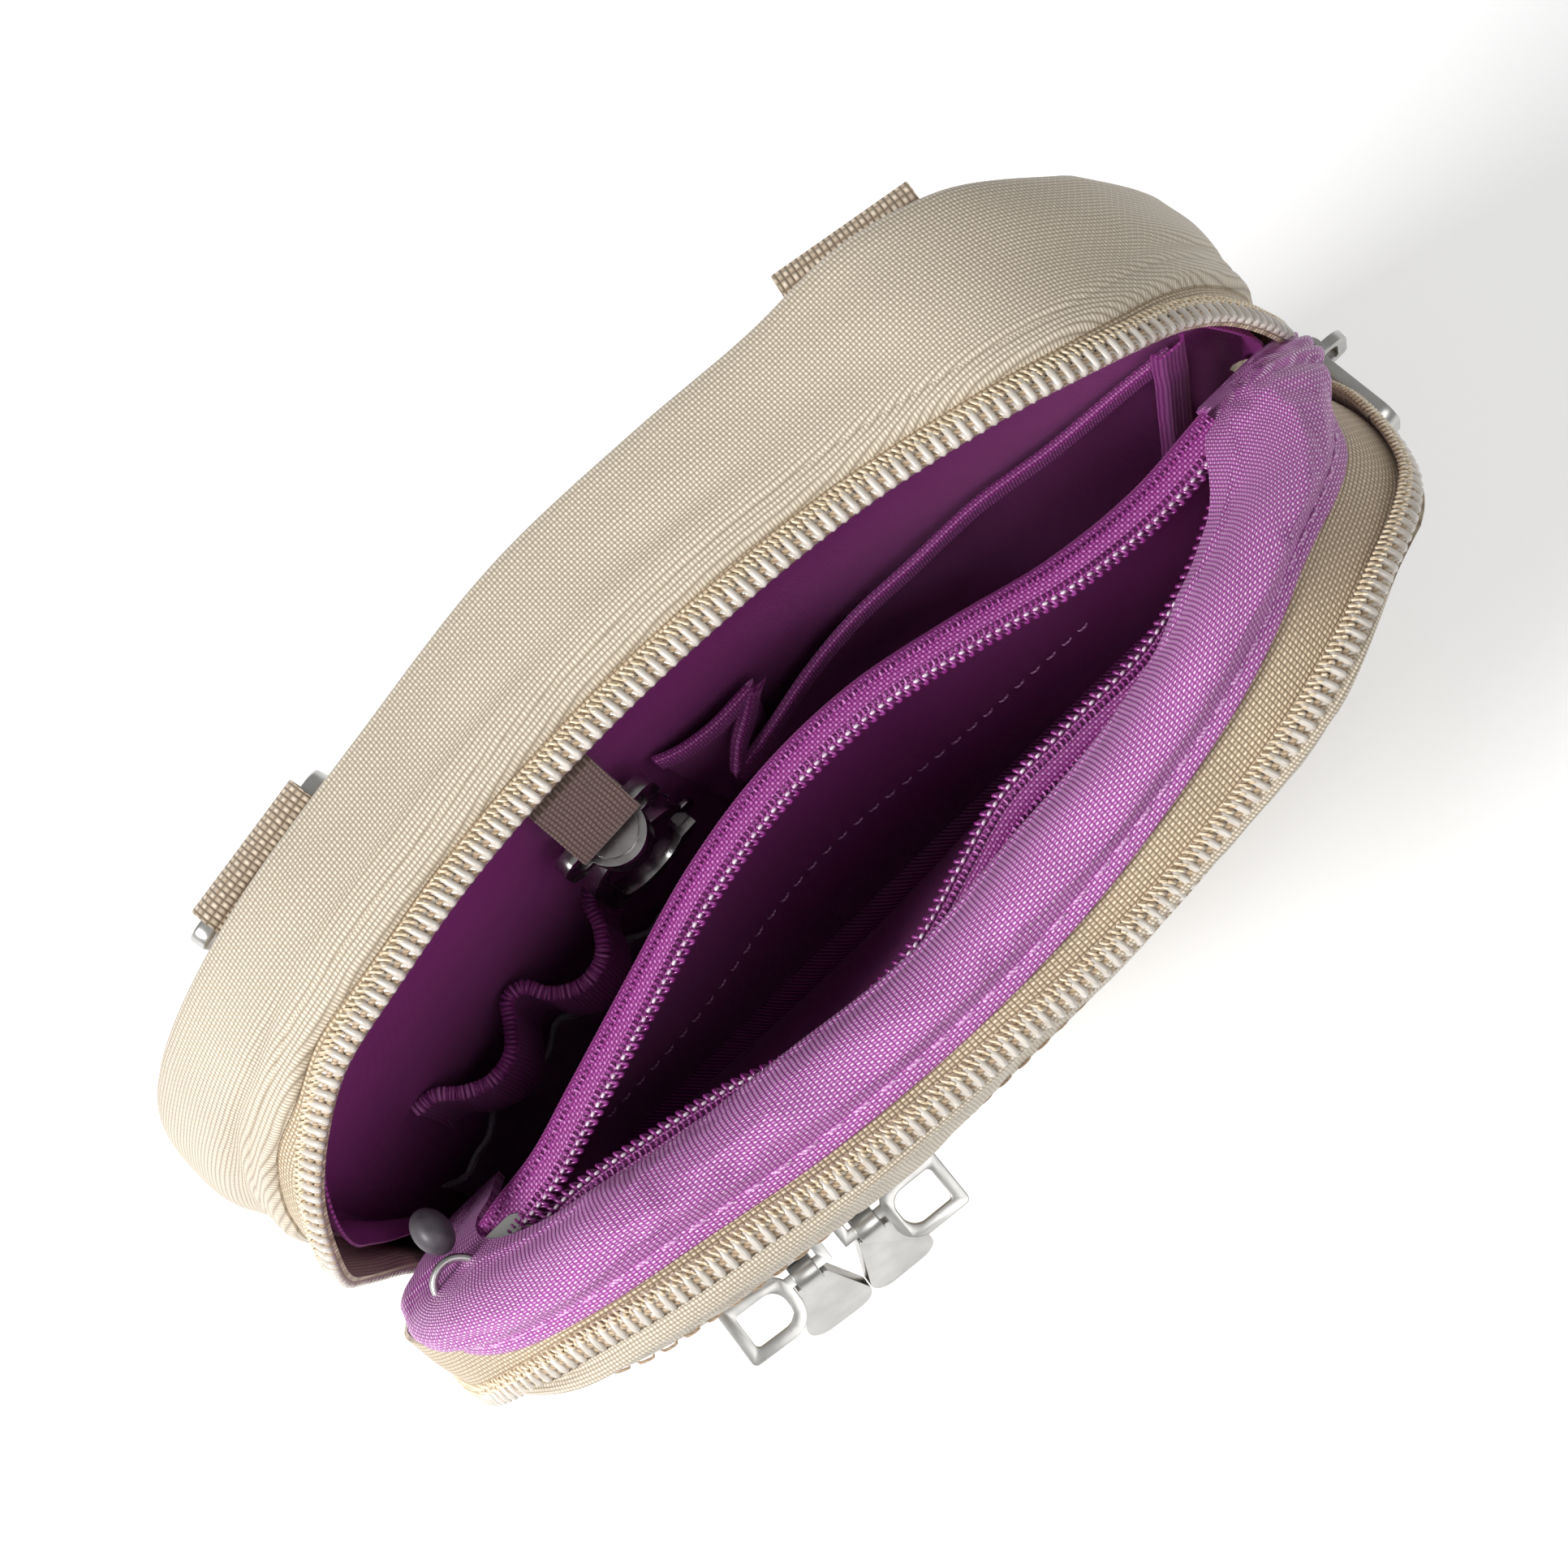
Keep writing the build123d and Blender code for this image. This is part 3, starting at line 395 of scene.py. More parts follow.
def woven(name, gap, thread, painted_highlight, pitch, rough, sheen, tint, bump, mottle=0.10, second=0.55):
    """Cloth from threads of one pitch in millimetres: the colour of the gaps, which is painted
    shade, of the threads, and of their tops, which is a painted highlight; slightly uneven all over."""
    material, tree, shader = empty_material(name)
    place = add_node(tree, "TexCoord", {}).outputs
    scale = (1.0 / pitch[0], 1.0 / pitch[1], 1.0)
    scaled = add_node(tree, "Mapping", {"Vector": place["UV"], "Scale": scale}).outputs[0]
    drift = noise(tree, place["UV"], 0.12)["Color"]
    pushed = add_node(tree, "VectorMath", {0: drift, 1: (0.7, 0.7, 0.0), 2: scaled}, "MULTIPLY_ADD")
    threads = tree.nodes.new("ShaderNodeGroup")
    threads.node_tree = woven_threads
    height = connect(threads, {0: pushed.outputs[0], 1: second}).outputs[0]
    uneven = noise(tree, place["Object"], 60.0, 3.0)["Fac"]
    spots = noise(tree, place["UV"], 1.0 / pitch[0], 0.0)["Fac"]
    mixed = add_node(tree, "Mix", {"Factor": 0.45, 2: uneven, 3: spots}).outputs[0]
    level = ranged(tree, mixed, 1.0 - mottle, 1.0 + mottle, 0.3, 0.7)
    # The ramp paints shade into the gaps between threads and a highlight onto their tops.
    coloured(tree, shader, height, ((0.0, gap), (0.5, thread), (1.0, painted_highlight)), level)
    raised(tree, shader, height, 0.8, bump)
    connect(shader, {"Roughness": rough, "Sheen Weight": sheen, "Sheen Roughness": 0.4,
                     "Sheen Tint": (*tint, 1.0)})
    return material


# Sand nylon: its darkest colour is painted shade in the gaps, its lightest a painted highlight on
# the thread tops.
nylon = woven("sand_nylon", (0.26, 0.20, 0.135), (0.53, 0.455, 0.35), (0.82, 0.73, 0.60),
              (0.50, 0.54), 0.5, 0.3, (1.0, 0.96, 0.90), 0.12, mottle=0.06, second=0.75)


def panel_rows(low=0.0, high=HIGH, flat_rows=26, corner_rows=18):
    """Heights for the rows of a panel, closer together round its corners."""
    foot = FOOT_ROUND * (1 - np.cos(np.linspace(0, math.pi / 2, 10)))
    side = np.linspace(FOOT_ROUND, HIGH - TOP_ROUND, flat_rows)
    top = HIGH - TOP_ROUND + TOP_ROUND * np.sin(np.linspace(0, math.pi / 2, corner_rows))
    rows = np.unique(np.round(np.concatenate((foot, side, top)), 4))
    return rows[(rows >= low) & (rows <= high)]


def width_at(z, half):
    """Half the width of an outline at a height."""
    over = np.maximum(z - HIGH + TOP_ROUND, 0)
    top = half - TOP_ROUND + np.sqrt(np.maximum(TOP_ROUND**2 - np.square(over), 0))
    under = np.maximum(FOOT_ROUND - z, 0)
    foot = half - FOOT_ROUND + np.sqrt(np.maximum(FOOT_ROUND**2 - np.square(under), 0))
    return np.minimum(top, foot)


def crowded(steep, count):
    """Places from -1 to 1, closer together towards both ends."""
    return np.sin(np.linspace(-steep, steep, count)) / math.sin(steep)


def spread(rows, widths, columns):
    """x and z over a panel: columns across each row's width, at each row's height."""
    x = widths[:, None] * columns[None, :]
    return x, np.repeat(rows[:, None], len(columns), axis=1)


# The back seam stands a little further out on the right, where the pouch is fuller.
back_seam_lean = ((-85, 0.0), (-64, -1.5), (-47, -1.7), (-33, -1.2), (-5, 1.0), (17, 1.0),
                  (36, 1.4), (48, 3.2), (58, 3.6), (67, 3.4), (74, 1.6), (80, -2.0), (85, -4.5))


def back_lean(x, z):
    """How far the back stands out near its top; behind the strap tabs it stays low."""
    lean = read_at(back_seam_lean, x)
    return np.where(lean > 0, lean * ease(z, 132, 150), lean * ease(z, 70, 150))


rows = panel_rows()
x, z = spread(rows, -width_at(rows, BACK_HALF), crowded(1.35, 61))
depth = inside(x, z, BACK_HALF)
within = np.maximum(depth, 0)
soft = 0.35 * np.sin(x * 0.11 + 1.3) * np.sin(z * 0.083 + 0.4) * ease(depth, 4, 30)
y = BACK_Y - bowed(x) + back_lean(x, z)
y = y + 1.0 * (1 - np.exp(-within / 7.0)) - 0.9 * np.exp(-within / 0.8) + soft
PADDING_THICK = 4.4
SEAM_WIDTH = 3.0
back_panel = cut_cloth(np.stack((x, y, z), axis=2), PADDING_THICK)
fill_out(back_panel, depth < SEAM_WIDTH, 1.0)
finish_mesh(back_panel, "back_cushion", nylon, "pouch",
            ("back_panel", "back_foam", "blocking_sheet"))

# The gusset: one strip of nylon round the back half, sewn to the back panel at one edge
# and folded back on itself at the other, where the zip tape comes out from under it.
GUSSET_TURN = TOP_ROUND * math.pi / 2
SIDE_LENGTH = HIGH - TOP_ROUND - FOOT_ROUND
TURNED_UNDER = 4.0


def outline(s, half):
    """x, z and the outward x, z at a distance along the outline from the top's middle."""
    s = np.asarray(s, float)
    way, a = np.where(s < 0, -1.0, 1.0), np.abs(s)
    flat = half - TOP_ROUND
    first = np.clip((a - flat) / TOP_ROUND, 0, math.pi / 2)
    side_start = flat + GUSSET_TURN
    second = np.clip((a - side_start - SIDE_LENGTH) / FOOT_ROUND, 0, math.pi / 2)
    under = np.maximum(a - side_start - SIDE_LENGTH - FOOT_ROUND * math.pi / 2, 0)
    x = np.minimum(a, flat) + TOP_ROUND * np.sin(first) - FOOT_ROUND * (1 - np.cos(second)) - under
    z = HIGH - TOP_ROUND + TOP_ROUND * np.cos(first)
    z = z - np.clip(a - side_start, 0, SIDE_LENGTH) - FOOT_ROUND * np.sin(second)
    turn = first + second
    return x * way, z, np.sin(turn) * way, np.cos(turn)


def back_place(s, y, out=0.0):
    """A place on the back half: s along its outline, y front to back, out from its surface."""
    x, z, nx, nz = outline(s, BACK_HALF)
    return np.stack((x + nx * out, y + 0 * x, z + nz * out), axis=-1)


# How far back the middle of the open zip runs, along the outline.
back_zip_line = ((-207, -5.2), (-164, -7.8), (-143, -9.0), (-125, -9.9), (-108, -10.8),
                 (-96, -11.0), (-90, -10.0), (-85, -8.0), (-80, -5.6), (-74.5, -3.4),
                 (-68.5, -1.1), (-61.9, 1.3), (-50, 3.5), (-36, 6.2), (-14, 8.1), (7, 8.0),
                 (31, 5.9), (53.7, 1.0), (59.2, -0.3), (67.7, -1.8), (77.8, -3.0), (86.2, -4.7),
                 (92.5, -6.5), (99, -8.2), (112, -7.8), (128, -6.3), (150, -5.6), (207, -5.2))
back_zip_out = ((-207, -1.5), (-175, -4.5), (-150, -6.5), (-130, -6.5), (-115, -5.0), (-100, -3.4),
                (-86, -2.0), (-72, -0.8), (-60, 0.1), (60, 0.2), (95, -0.6), (112, 0.2),
                (207, 0.2))
# How far behind the zip's middle the gusset's folded edge lies.
fold_gap = ((-207, -1.5), (-182, -1.0), (-173, 5.0), (-150, 6.5), (-125, 7.0), (-100, 8.6),
            (-93, 9.4), (-85, 8.6), (-77.7, 7.2), (-69.6, 5.0), (-60, 4.4), (0, 4.1), (53, 4.1),
            (67, 4.4), (77, 4.9), (87, 6.0), (97, 7.5), (112, 7.5), (130, 6.5), (173, 5.0),
            (182, -1.0), (207, -1.5))


def back_seam_y(s):
    """Where the back panel's seam runs, front to back."""
    x, z, _, _ = outline(s, BACK_HALF)
    return BACK_Y - bowed(x) + back_lean(x, z)


gusset_end = BACK_HALF - TOP_ROUND + GUSSET_TURN + SIDE_LENGTH + TURNED_UNDER
s = np.linspace(-gusset_end, gusset_end, 261)
seam = back_seam_y(s)
fold = read_at(back_zip_line, s) + read_at(fold_gap, s)
drawn_in = np.maximum(read_at(back_zip_out, s), -3.0)
lines = []
for share, from_seam, from_fold, out in (
        (0.0, 0.0, 0.0, -1.3), (0.0, -0.3, 0.0, -0.5), (0.0, -1.2, 0.0, 0.05),
        (0.12, -1.0, 0.0, 0.5), (0.35, 0.0, 0.0, 0.9), (0.62, 0.0, 0.0, 0.85),
        (1.0, 0.0, 4.6, 0.62), (1.0, 0.0, 3.1, 0.52), (1.0, 0.0, 2.6, 0.22),
        (1.0, 0.0, 2.1, 0.5), (1.0, 0.0, 1.0, 0.52), (1.0, 0.0, 0.25, 0.36),
        (1.0, 0.0, 0.0, -0.05), (1.0, 0.0, 0.4, -0.5)):
    wave = 0.26 * np.sin(s * 0.16 + 9 * share) * np.sin(s * 0.047 + 2 + 4 * share)
    wave = wave * math.sin(math.pi * share)
    y = seam + (fold - seam) * share + from_seam + from_fold
    lines.append(back_place(s, y, out + wave + drawn_in * share**2))
back_gusset = cut_cloth(lofted(lines, 60), 1.0)
finish_mesh(back_gusset, "back_gusset_strip", nylon, "pouch", ("back_gusset",))


def thread(lines, radius, sides=1):
    """Threads or wires of one radius along the given lines, as one mesh."""
    curve = bpy.data.curves.new("thread", "CURVE")
    curve.dimensions = "3D"
    curve.bevel_depth = radius * MM
    curve.bevel_resolution = sides
    curve.use_fill_caps = True
    for line in lines:
        spline = curve.splines.new("POLY")
        spline.points.add(len(line) - 1)
        flat = np.column_stack((np.asarray(line) * MM, np.ones(len(line))))
        spline.points.foreach_set("co", flat.ravel())
        for end in (0, -1):
            spline.points[end].radius = 0.45
    piece = bpy.data.objects.new("thread", curve)
    bpy.context.scene.collection.objects.link(piece)
    bpy.ops.object.select_all(action="DESELECT")
    piece.select_set(True)
    bpy.context.view_layer.objects.active = piece
    bpy.ops.object.convert(target="MESH")
    bpy.ops.object.shade_smooth()
    return bpy.context.object


def stitches(path, lift, length=2.3, gap=0.7, sink=0.35):
    """Lines for a row of running stitches: each rises out of the cloth and dips back."""
    path, lift = np.asarray(path, float), np.asarray(lift, float)
    reach = run_along(path)
    height = np.array((-sink, -0.02, 0.06, 0.06, -0.02, -sink))
    rows = []
    for start in np.arange(gap, reach[-1] - length, length + gap):
        at = start + length * np.array((0.0, 0.12, 0.35, 0.65, 0.88, 1.0))
        rows.append(points_at(path, reach, at) + points_at(lift, reach, at) * height[:, None])
    return rows


def spun(name, colour, bright, rough=0.45, sheen=0.3):
    """Sewing thread: twisted strands with a soft sheen; its lighter diagonal bands are a
    painted highlight on the twist.
    """
    material, tree, shader = empty_material(name)
    place = add_node(tree, "TexCoord", {}).outputs["Object"]
    wave = add_node(tree, "TexWave", {"Vector": place, "Scale": 900.0, "Distortion": 0.6})
    wave.bands_direction = "DIAGONAL"
    # The wave paints lighter bands across the thread as highlights on its twist.
    coloured(tree, shader, wave.outputs["Fac"], ((0.0, colour), (1.0, bright)))
    connect(shader, {"Roughness": rough, "Sheen Weight": sheen})
    return material


def back_outward(s):
    """The way out from the back half's outline, at each place along it."""
    _, _, nx, nz = outline(s, BACK_HALF)
    return np.stack((nx, 0 * nx, nz), axis=1)


# The lighter colour of each sewing thread is the painted highlight on its twist.
sand_thread = spun("sand_sewing_thread", (0.30, 0.20, 0.12), (0.46, 0.34, 0.23))
seam_path = back_place(s, fold + 2.6, drawn_in + 0.36)
piece = thread(stitches(seam_path, back_outward(s), 2.3, 1.1), 0.17)
finish_mesh(piece, "gusset_stitches", sand_thread, "pouch")

# The zip tape of the back half: golden woven tape that shows as a narrow band between
# the gusset's folded edge and the coil.
# Golden tape: the darkest colour is painted shade in the gaps, the lightest a painted highlight on
# the thread tops.
tape_cloth = woven("golden_zip_tape", (0.22, 0.14, 0.075), (0.50, 0.39, 0.26), (0.85, 0.73, 0.55),
                   (0.70, 0.52), 0.45, 0.3, (1.0, 0.92, 0.78), 0.22, second=0.6)
BACK_ZIP_FOOT = 44.0
zip_end = BACK_HALF - TOP_ROUND + GUSSET_TURN + HIGH - TOP_ROUND - BACK_ZIP_FOOT
s = np.linspace(-zip_end, zip_end, 241)
middle = read_at(back_zip_line, s)
drawn_in = read_at(back_zip_out, s)
gap = read_at(fold_gap, s)
under_fold = np.maximum(drawn_in, -3.0)
lines = [back_place(s, middle + offset, out + inward) for offset, out, inward in (
    (gap + 2.0, -1.4, under_fold), (gap - 0.2, -0.85, under_fold),
    (gap * 0.6, -0.45, (under_fold + drawn_in) / 2), (1.4, -0.5, drawn_in), (-1.4, -0.8, drawn_in))]
back_tape = cut_cloth(lofted(lines, 15), 0.6)
finish_mesh(back_tape, "back_zip_tape", tape_cloth, "pouch", ("main_tape_back",))


# The main coil: a nylon wire wound in flattened loops, with a cord inside them and golden
# thread between them that sews them to the tape.
def unit(ways):
    """Ways of length one."""
    return ways / np.linalg.norm(ways, axis=1)[:, None]


def coil_lines(path, lift, pitch, wide, high, lean=0.0, steps=12):
    """One line that winds round a path in flattened loops. Wide is measured across the
    path and lift, high along lift. The wire moves on only below the path, so that the
    loops lie straight across it."""
    path = np.asarray(path, float)
    lift = np.asarray(lift, float)
    reach = run_along(path)
    turns = int(reach[-1] / pitch)
    at = np.linspace(0, reach[-1], turns * steps)
    base = points_at(path, reach, at)
    up = points_at(lift, reach, at)
    ahead = unit(np.gradient(base, axis=0))
    up = unit(up - ahead * np.sum(up * ahead, axis=1)[:, None])
    across = np.cross(ahead, up)
    angle = 2 * math.pi * turns * at / reach[-1]
    phase = np.mod(angle, 2 * math.pi)
    shift = 0.25 + np.clip(phase / math.pi - 1.0, 0.0, 1.0) - phase / (2 * math.pi)
    base = base + ahead * (pitch * shift)[:, None]
    round_x = np.sign(np.cos(angle)) * np.abs(np.cos(angle)) ** 0.8
    round_y = np.sign(np.sin(angle)) * np.abs(np.sin(angle)) ** 0.8
    slant = lean * round_x[:, None] * ahead
    return base + across * (wide / 2 * round_x)[:, None] + up * (high / 2 * round_y)[:, None] + slant


def moulded(name, colour, light, rough, coat, glow=0.0):
    """Smooth moulded plastic with a faintly cloudy colour."""
    material, tree, shader = empty_material(name)
    place = add_node(tree, "TexCoord", {}).outputs["Object"]
    cloud = noise(tree, place, 400.0)["Fac"]
    coloured(tree, shader, cloud, ((0.3, colour), (0.7, light)))
    connect(shader, {"Roughness": ranged(tree, cloud, rough * 0.8, rough * 1.3),
                     "Coat Weight": coat, "Coat Roughness": 0.2, "Subsurface Weight": glow,
                     "Subsurface Radius": (0.0006, 0.0005, 0.0004)})
    return material


COIL_PITCH = 1.76
COIL_HIGH = 1.6


def zip_teeth(name, path, lift, body, hidden, wide=3.8, blend=None):
    """One side of a coil zip: flattened loops of clear nylon wire, a cord inside them and
    the golden threads that sew them to the tape. Lift points away from the tape."""
    path, lift = np.asarray(path, float), np.asarray(lift, float)
    across = unit(np.cross(unit(np.gradient(path, axis=0)), lift))
    loops = coil_lines(path, lift, COIL_PITCH, wide - 1.0, COIL_HIGH - 0.95, lean=0.2)
    cords = [path + across * 0.1, path - across * wide * 0.3 - lift * 0.2,
             path + across * wide * 0.28 - lift * 0.3]
    over = coil_lines(path - across * wide * 0.26 + lift * 0.22, lift, COIL_PITCH / 2, 0.5,
                      COIL_HIGH - 0.6, lean=0.15, steps=8)
    side_row = coil_lines(path - across * wide * 0.45 + lift * 0.1, lift, 0.9, 0.9, 0.7,
                          lean=0.3, steps=8)
    for ending, lines, radius, sides, slot, material in (
            ("", [loops], 0.5, 2, "coil", coil_plastic),
            ("_cord", cords, 0.5, 1, "zip_tape", dark_tape_cord),
            ("_sewing", [over, side_row], 0.2, 1, "zip_tape", gold_thread)):
        piece = thread(lines, radius, sides)
        finish_mesh(piece, name + ending, material, body, () if ending else hidden)
        if blend:
            blend(piece)


coil_plastic = moulded("zip_coil_nylon", (0.52, 0.47, 0.41), (0.66, 0.61, 0.55), 0.22, 0.8, 0.25)
# For both, the lighter colour is the painted highlight on the twist.
gold_thread = spun("gold_sewing_thread", (0.55, 0.42, 0.26), (0.92, 0.80, 0.60), 0.35, 0.4)
dark_tape_cord = spun("brown_zip_cord", (0.28, 0.19, 0.11), (0.52, 0.40, 0.27))
path = back_place(s, middle, drawn_in + 0.5)
zip_teeth("main_zip_coil_back", path, back_outward(s), "pouch", ("main_coil_back",))

# The front half: one nylon panel from the base, over the soft fold at the foot of the
# zip, to the top seam. It leans out above the fold and its outside pocket is slack.
LEAN = math.radians(14.0)
FOLD_Z = 40.0
BEND_LOW, BEND_HIGH = 24.0, 58.0


def leaned(places, above=None):
    """Places of the closed front half, turned out about the fold as the fabric bends."""
    z = places[..., 2] if above is None else above
    turn = LEAN * ease(z, BEND_LOW, BEND_HIGH)
    y, up = places[..., 1] - FRONT_Y, places[..., 2] - FOLD_Z
    return np.stack((places[..., 0], FRONT_Y + y * np.cos(turn) - up * np.sin(turn),
                     FOLD_Z + up * np.cos(turn) + y * np.sin(turn)), axis=-1)


def front_place(s, depth, out=0.0):
    """A place on the front half: s along its outline, depth back from the front seam."""
    x, z, nx, nz = outline(s, FRONT_HALF)
    y = FRONT_Y + bowed(x) + depth
    return leaned(np.stack((x + nx * out, y + 0 * x, z + nz * out), axis=-1), z)


FULL_POCKET = ((-82, 0.0), (-70, 0.8), (-60, 2.4), (-45, 3.4), (-20, 3.2), (0, 2.6), (30, 1.8),
               (50, 0.8), (66, 0.2), (82, 0.0))
WINDOW_LOW, WINDOW_HIGH, WINDOW_HALF = 121.0, 131.0, 70.0
POCKET_ZIP_Z = 126.0
TRIM_X, TRIM_Z = 13.0, 114.0
BASE_TURN = 30.0


def front_face(x, z, flat=False):
    """Local depth of the front panel's face at x and height z."""
    by_height = ease(z, 46, 80) * (1 - 0.8 * ease(z, 84, 113)) - 0.15 * ease(z, 126, 150)
    full = read_at(FULL_POCKET, x) * by_height
    tucked = 4.8 * ease(-x, 56, 80) * ease(z, 64, 122) + 2.8 * ease(x, 52, 74) * ease(z, 40, 100)
    tucked = tucked + 2.2 * ease(z, 132, 149) * (1 - 0.8 * ease(x, 0, 50)) * ease(x, -70, -56)
    low_full = 1.6 * np.sin(np.clip(x / 170 + 0.5, 0, 1) * math.pi)
    low_full = low_full * ease(z, 4, 30) * (1 - ease(z, 60, 100))
    y = FRONT_Y + bowed(x) - full - low_full + tucked
    if flat:
        return y
    wrinkle = 0.5 * np.sin(x * 0.10 + z * 0.05) * np.sin(z * 0.09 - x * 0.02 + 1.0)
    wrinkle = wrinkle + 0.25 * np.sin(x * 0.21 - z * 0.17)
    edge = inside(x, z, FRONT_HALF)
    y = y + wrinkle * ease(edge, 2, 18) * (1 - 0.6 * ease(np.abs(z - POCKET_ZIP_Z), 12, 5))
    y = y + 0.9 * np.exp(-np.maximum(edge, 0) / 0.8)
    slit = ease(z, WINDOW_LOW - 0.5, WINDOW_LOW + 0.4)
    slit = slit * (1 - ease(z, WINDOW_HIGH - 0.4, WINDOW_HIGH + 0.5))
    slit = slit * (1 - ease(np.abs(x), WINDOW_HALF - 0.5, WINDOW_HALF + 1.0))
    lower_lip = np.exp(-np.square((z - WINDOW_LOW + 1.2) / 1.1))
    lips = 0.5 * (lower_lip + np.exp(-np.square((z - WINDOW_HIGH - 1.2) / 1.1)))
    return y + 2.4 * slit - lips * (1 - ease(np.abs(x), WINDOW_HALF - 1, WINDOW_HALF + 3))


def bend_at_fold(piece):
    """Bakes a piece's placement into its mesh."""
    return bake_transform(piece)


rows = np.concatenate((panel_rows(high=118, flat_rows=40), np.arange(118.6, 134.1, 0.55),
                       panel_rows(low=134.4, corner_rows=26)))
x, z = spread(rows, width_at(rows, FRONT_HALF), crowded(1.38, 101))
pulled = 2.4 * ease(-x, 45, 75) * ease(z, 92, 125)
grid = leaned(np.stack((x + pulled, front_face(x, z), z - pulled), axis=-1), z)
front_panel = cut_cloth(grid, 1.2)
pocket_zip = (np.abs(z - POCKET_ZIP_Z) < 10) & (np.abs(x) < 76)
trim_place = (np.abs(z - TRIM_Z) < 5) & (np.abs(x - TRIM_X) < 21)
seams = inside(x, z, FRONT_HALF) < SEAM_WIDTH
fill_out(front_panel, seams | pocket_zip | trim_place | (z < BASE_TURN), 0.9)
finish_mesh(front_panel, "front_panel", nylon, None,
            ("lower_front_panel", "pocket_panel", "front_top_strip", "pocket_lining", "front_foam"))
bend_at_fold(front_panel)

# The front gusset: a narrow nylon strip from the front seam to the zip. Below the zip's
# ends it widens and closes the side of the pouch. On the right it is drawn back to the
# slider, where the zip is still closed.
front_zip_depth = ((-204.5, 12.4), (-172.5, 12.2), (-146.5, 12.6), (-125, 11.0), (-110, 8.0),
                   (-98, 5.2), (-92, 4.7), (-84.3, 5.0), (-76.6, 5.6), (-70, 6.1), (-62.6, 6.7),
                   (-50.6, 6.7), (-43.4, 6.6), (-36.1, 6.4), (-25, 5.5), (-2, 4.3), (18, 2.9),
                   (35, 2.8), (47, 3.1), (60.5, 4.2), (68, 5.0), (79, 6.0), (86.9, 7.6),
                   (94.2, 11.4), (101.4, 15.8), (112, 19.2), (120, 20.8), (131.6, 20.9),
                   (146, 17.4), (160.7, 13.8), (175, 11.7), (204.5, 12.0))
front_zip_out = ((-204.5, 3.5), (-172.5, 3.0), (-140, 1.0), (-116.5, -1.0), (-98, -2.8),
                 (-84, -2.2), (-70, -1.3), (-58, 0.1), (60, 0.2), (72, 1.4), (80, 2.6), (101, 2.9),
                 (116, 3.0), (131.6, 3.2), (175, 3.5), (204.5, 3.5))
foot_s = FRONT_HALF - TOP_ROUND + GUSSET_TURN + SIDE_LENGTH + TURNED_UNDER


def front_gusset_grid(low, high, count):
    """The gusset between two places along the outline."""
    s = np.linspace(low, high, count)
    x, z, _, _ = outline(s, FRONT_HALF)
    below = 1 - ease(z, 38.0, 46.0)
    depth = read_at(front_zip_depth, s) - 1.7 + below * 6.6
    out = read_at(front_zip_out, s)
    seam = front_face(x, z, flat=True) - (FRONT_Y + bowed(x))
    depth = np.maximum(depth, seam + 1.6)
    lines = []
    for share, lift in ((0.0, -1.2), (0.02, -0.45), (0.08, 0.1), (0.3, 0.55), (0.6, 0.6),
                        (0.85, 0.3), (0.93, 0.45), (1.0, 0.1), (0.98, -0.5)):
        slack = 0.5 * np.sin(s * 0.13 + 5 * share) * math.sin(math.pi * share)
        slack = slack * ease(np.abs(s), 60, 110)
        pulled = 3.3 * (1 - share) * ease(-s, 66, 92) * (1 - ease(-s, 122, 150))
        out_here = out * share + lift + slack - pulled
        lines.append(front_place(s, seam + (depth - seam) * share, out_here))
    return lofted(lines, 30)


def zip_blend(piece, sideways):
    """Bakes a piece's placement into its mesh; the sideways pieces on the right, where the zip
    still holds, are baked the same way.
    """
    if sideways:
        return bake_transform(piece)
    return bend_at_fold(piece)


gusset_parts = (("front_gusset_strip", -foot_s, 98.0, 230, False),
                ("front_gusset_right", 97.0, 172.0, 66, True),
                ("side_gusset_right", 170.5, foot_s, 40, False))
for name, low, high, count, sideways in gusset_parts:
    piece = cut_cloth(front_gusset_grid(low, high, count), 1.0)
    hidden = ("front_gusset", "lower_side_gussets") if name == "front_gusset_strip" else ()
    finish_mesh(piece, name, nylon, None, hidden)
    zip_blend(piece, sideways)

# The base: a plain nylon strip between the two halves that turns up at both feet, where
# the gussets end.
base_half = FOOT_ROUND * math.pi / 2 + BACK_HALF - FOOT_ROUND
q = np.linspace(-1, 1, 121)
lines = []
for share, lift in ((0.0, -1.0), (0.01, -0.3), (0.03, 0.1), (0.25, 0.1), (0.5, 0.1), (0.75, 0.1),
                    (0.97, 0.1), (0.99, -0.3), (1.0, -1.0)):
    half = FRONT_HALF + (BACK_HALF - FRONT_HALF) * share
    reach = half - TOP_ROUND + GUSSET_TURN + SIDE_LENGTH
    s_side = reach + (1 - np.abs(q)) * base_half * half / BACK_HALF
    x, z, nx, nz = outline(s_side * np.where(q < 0, -1, 1), half)
    y = (FRONT_Y + bowed(x)) * (1 - share) + (BACK_Y - bowed(x)) * share
    lines.append(np.stack((x + nx * lift, y, np.maximum(z + nz * lift, 0.35)), axis=-1))
base = cut_cloth(lofted(lines, 40), 0.9)
finish_mesh(base, "base_strip", nylon, "pouch", ("base_panel",))

# The zip tape of the front half is turned inwards: its coil stands along the outer edge
# and the tape's back shows between the coil and the purple facing.
facing_edge = ((-204.5, 15.0), (-136.5, 14.5), (-101.5, 14.0), (-86.5, 12.6), (-77.5, 11.0),
               (-70, 10.0), (-59.5, 9.6), (-44, 9.6), (-27, 8.6), (-6, 8.0), (14, 8.2), (30, 9.2),
               (45, 10.5), (57.5, 12.5), (61.6, 13.3), (67.2, 13.8), (74.7, 13.9), (80.8, 14.3),
               (85.3, 15.2), (88.5, 17.0), (94.9, 20.0), (102, 22.0), (113.6, 26.9), (122, 27.5))


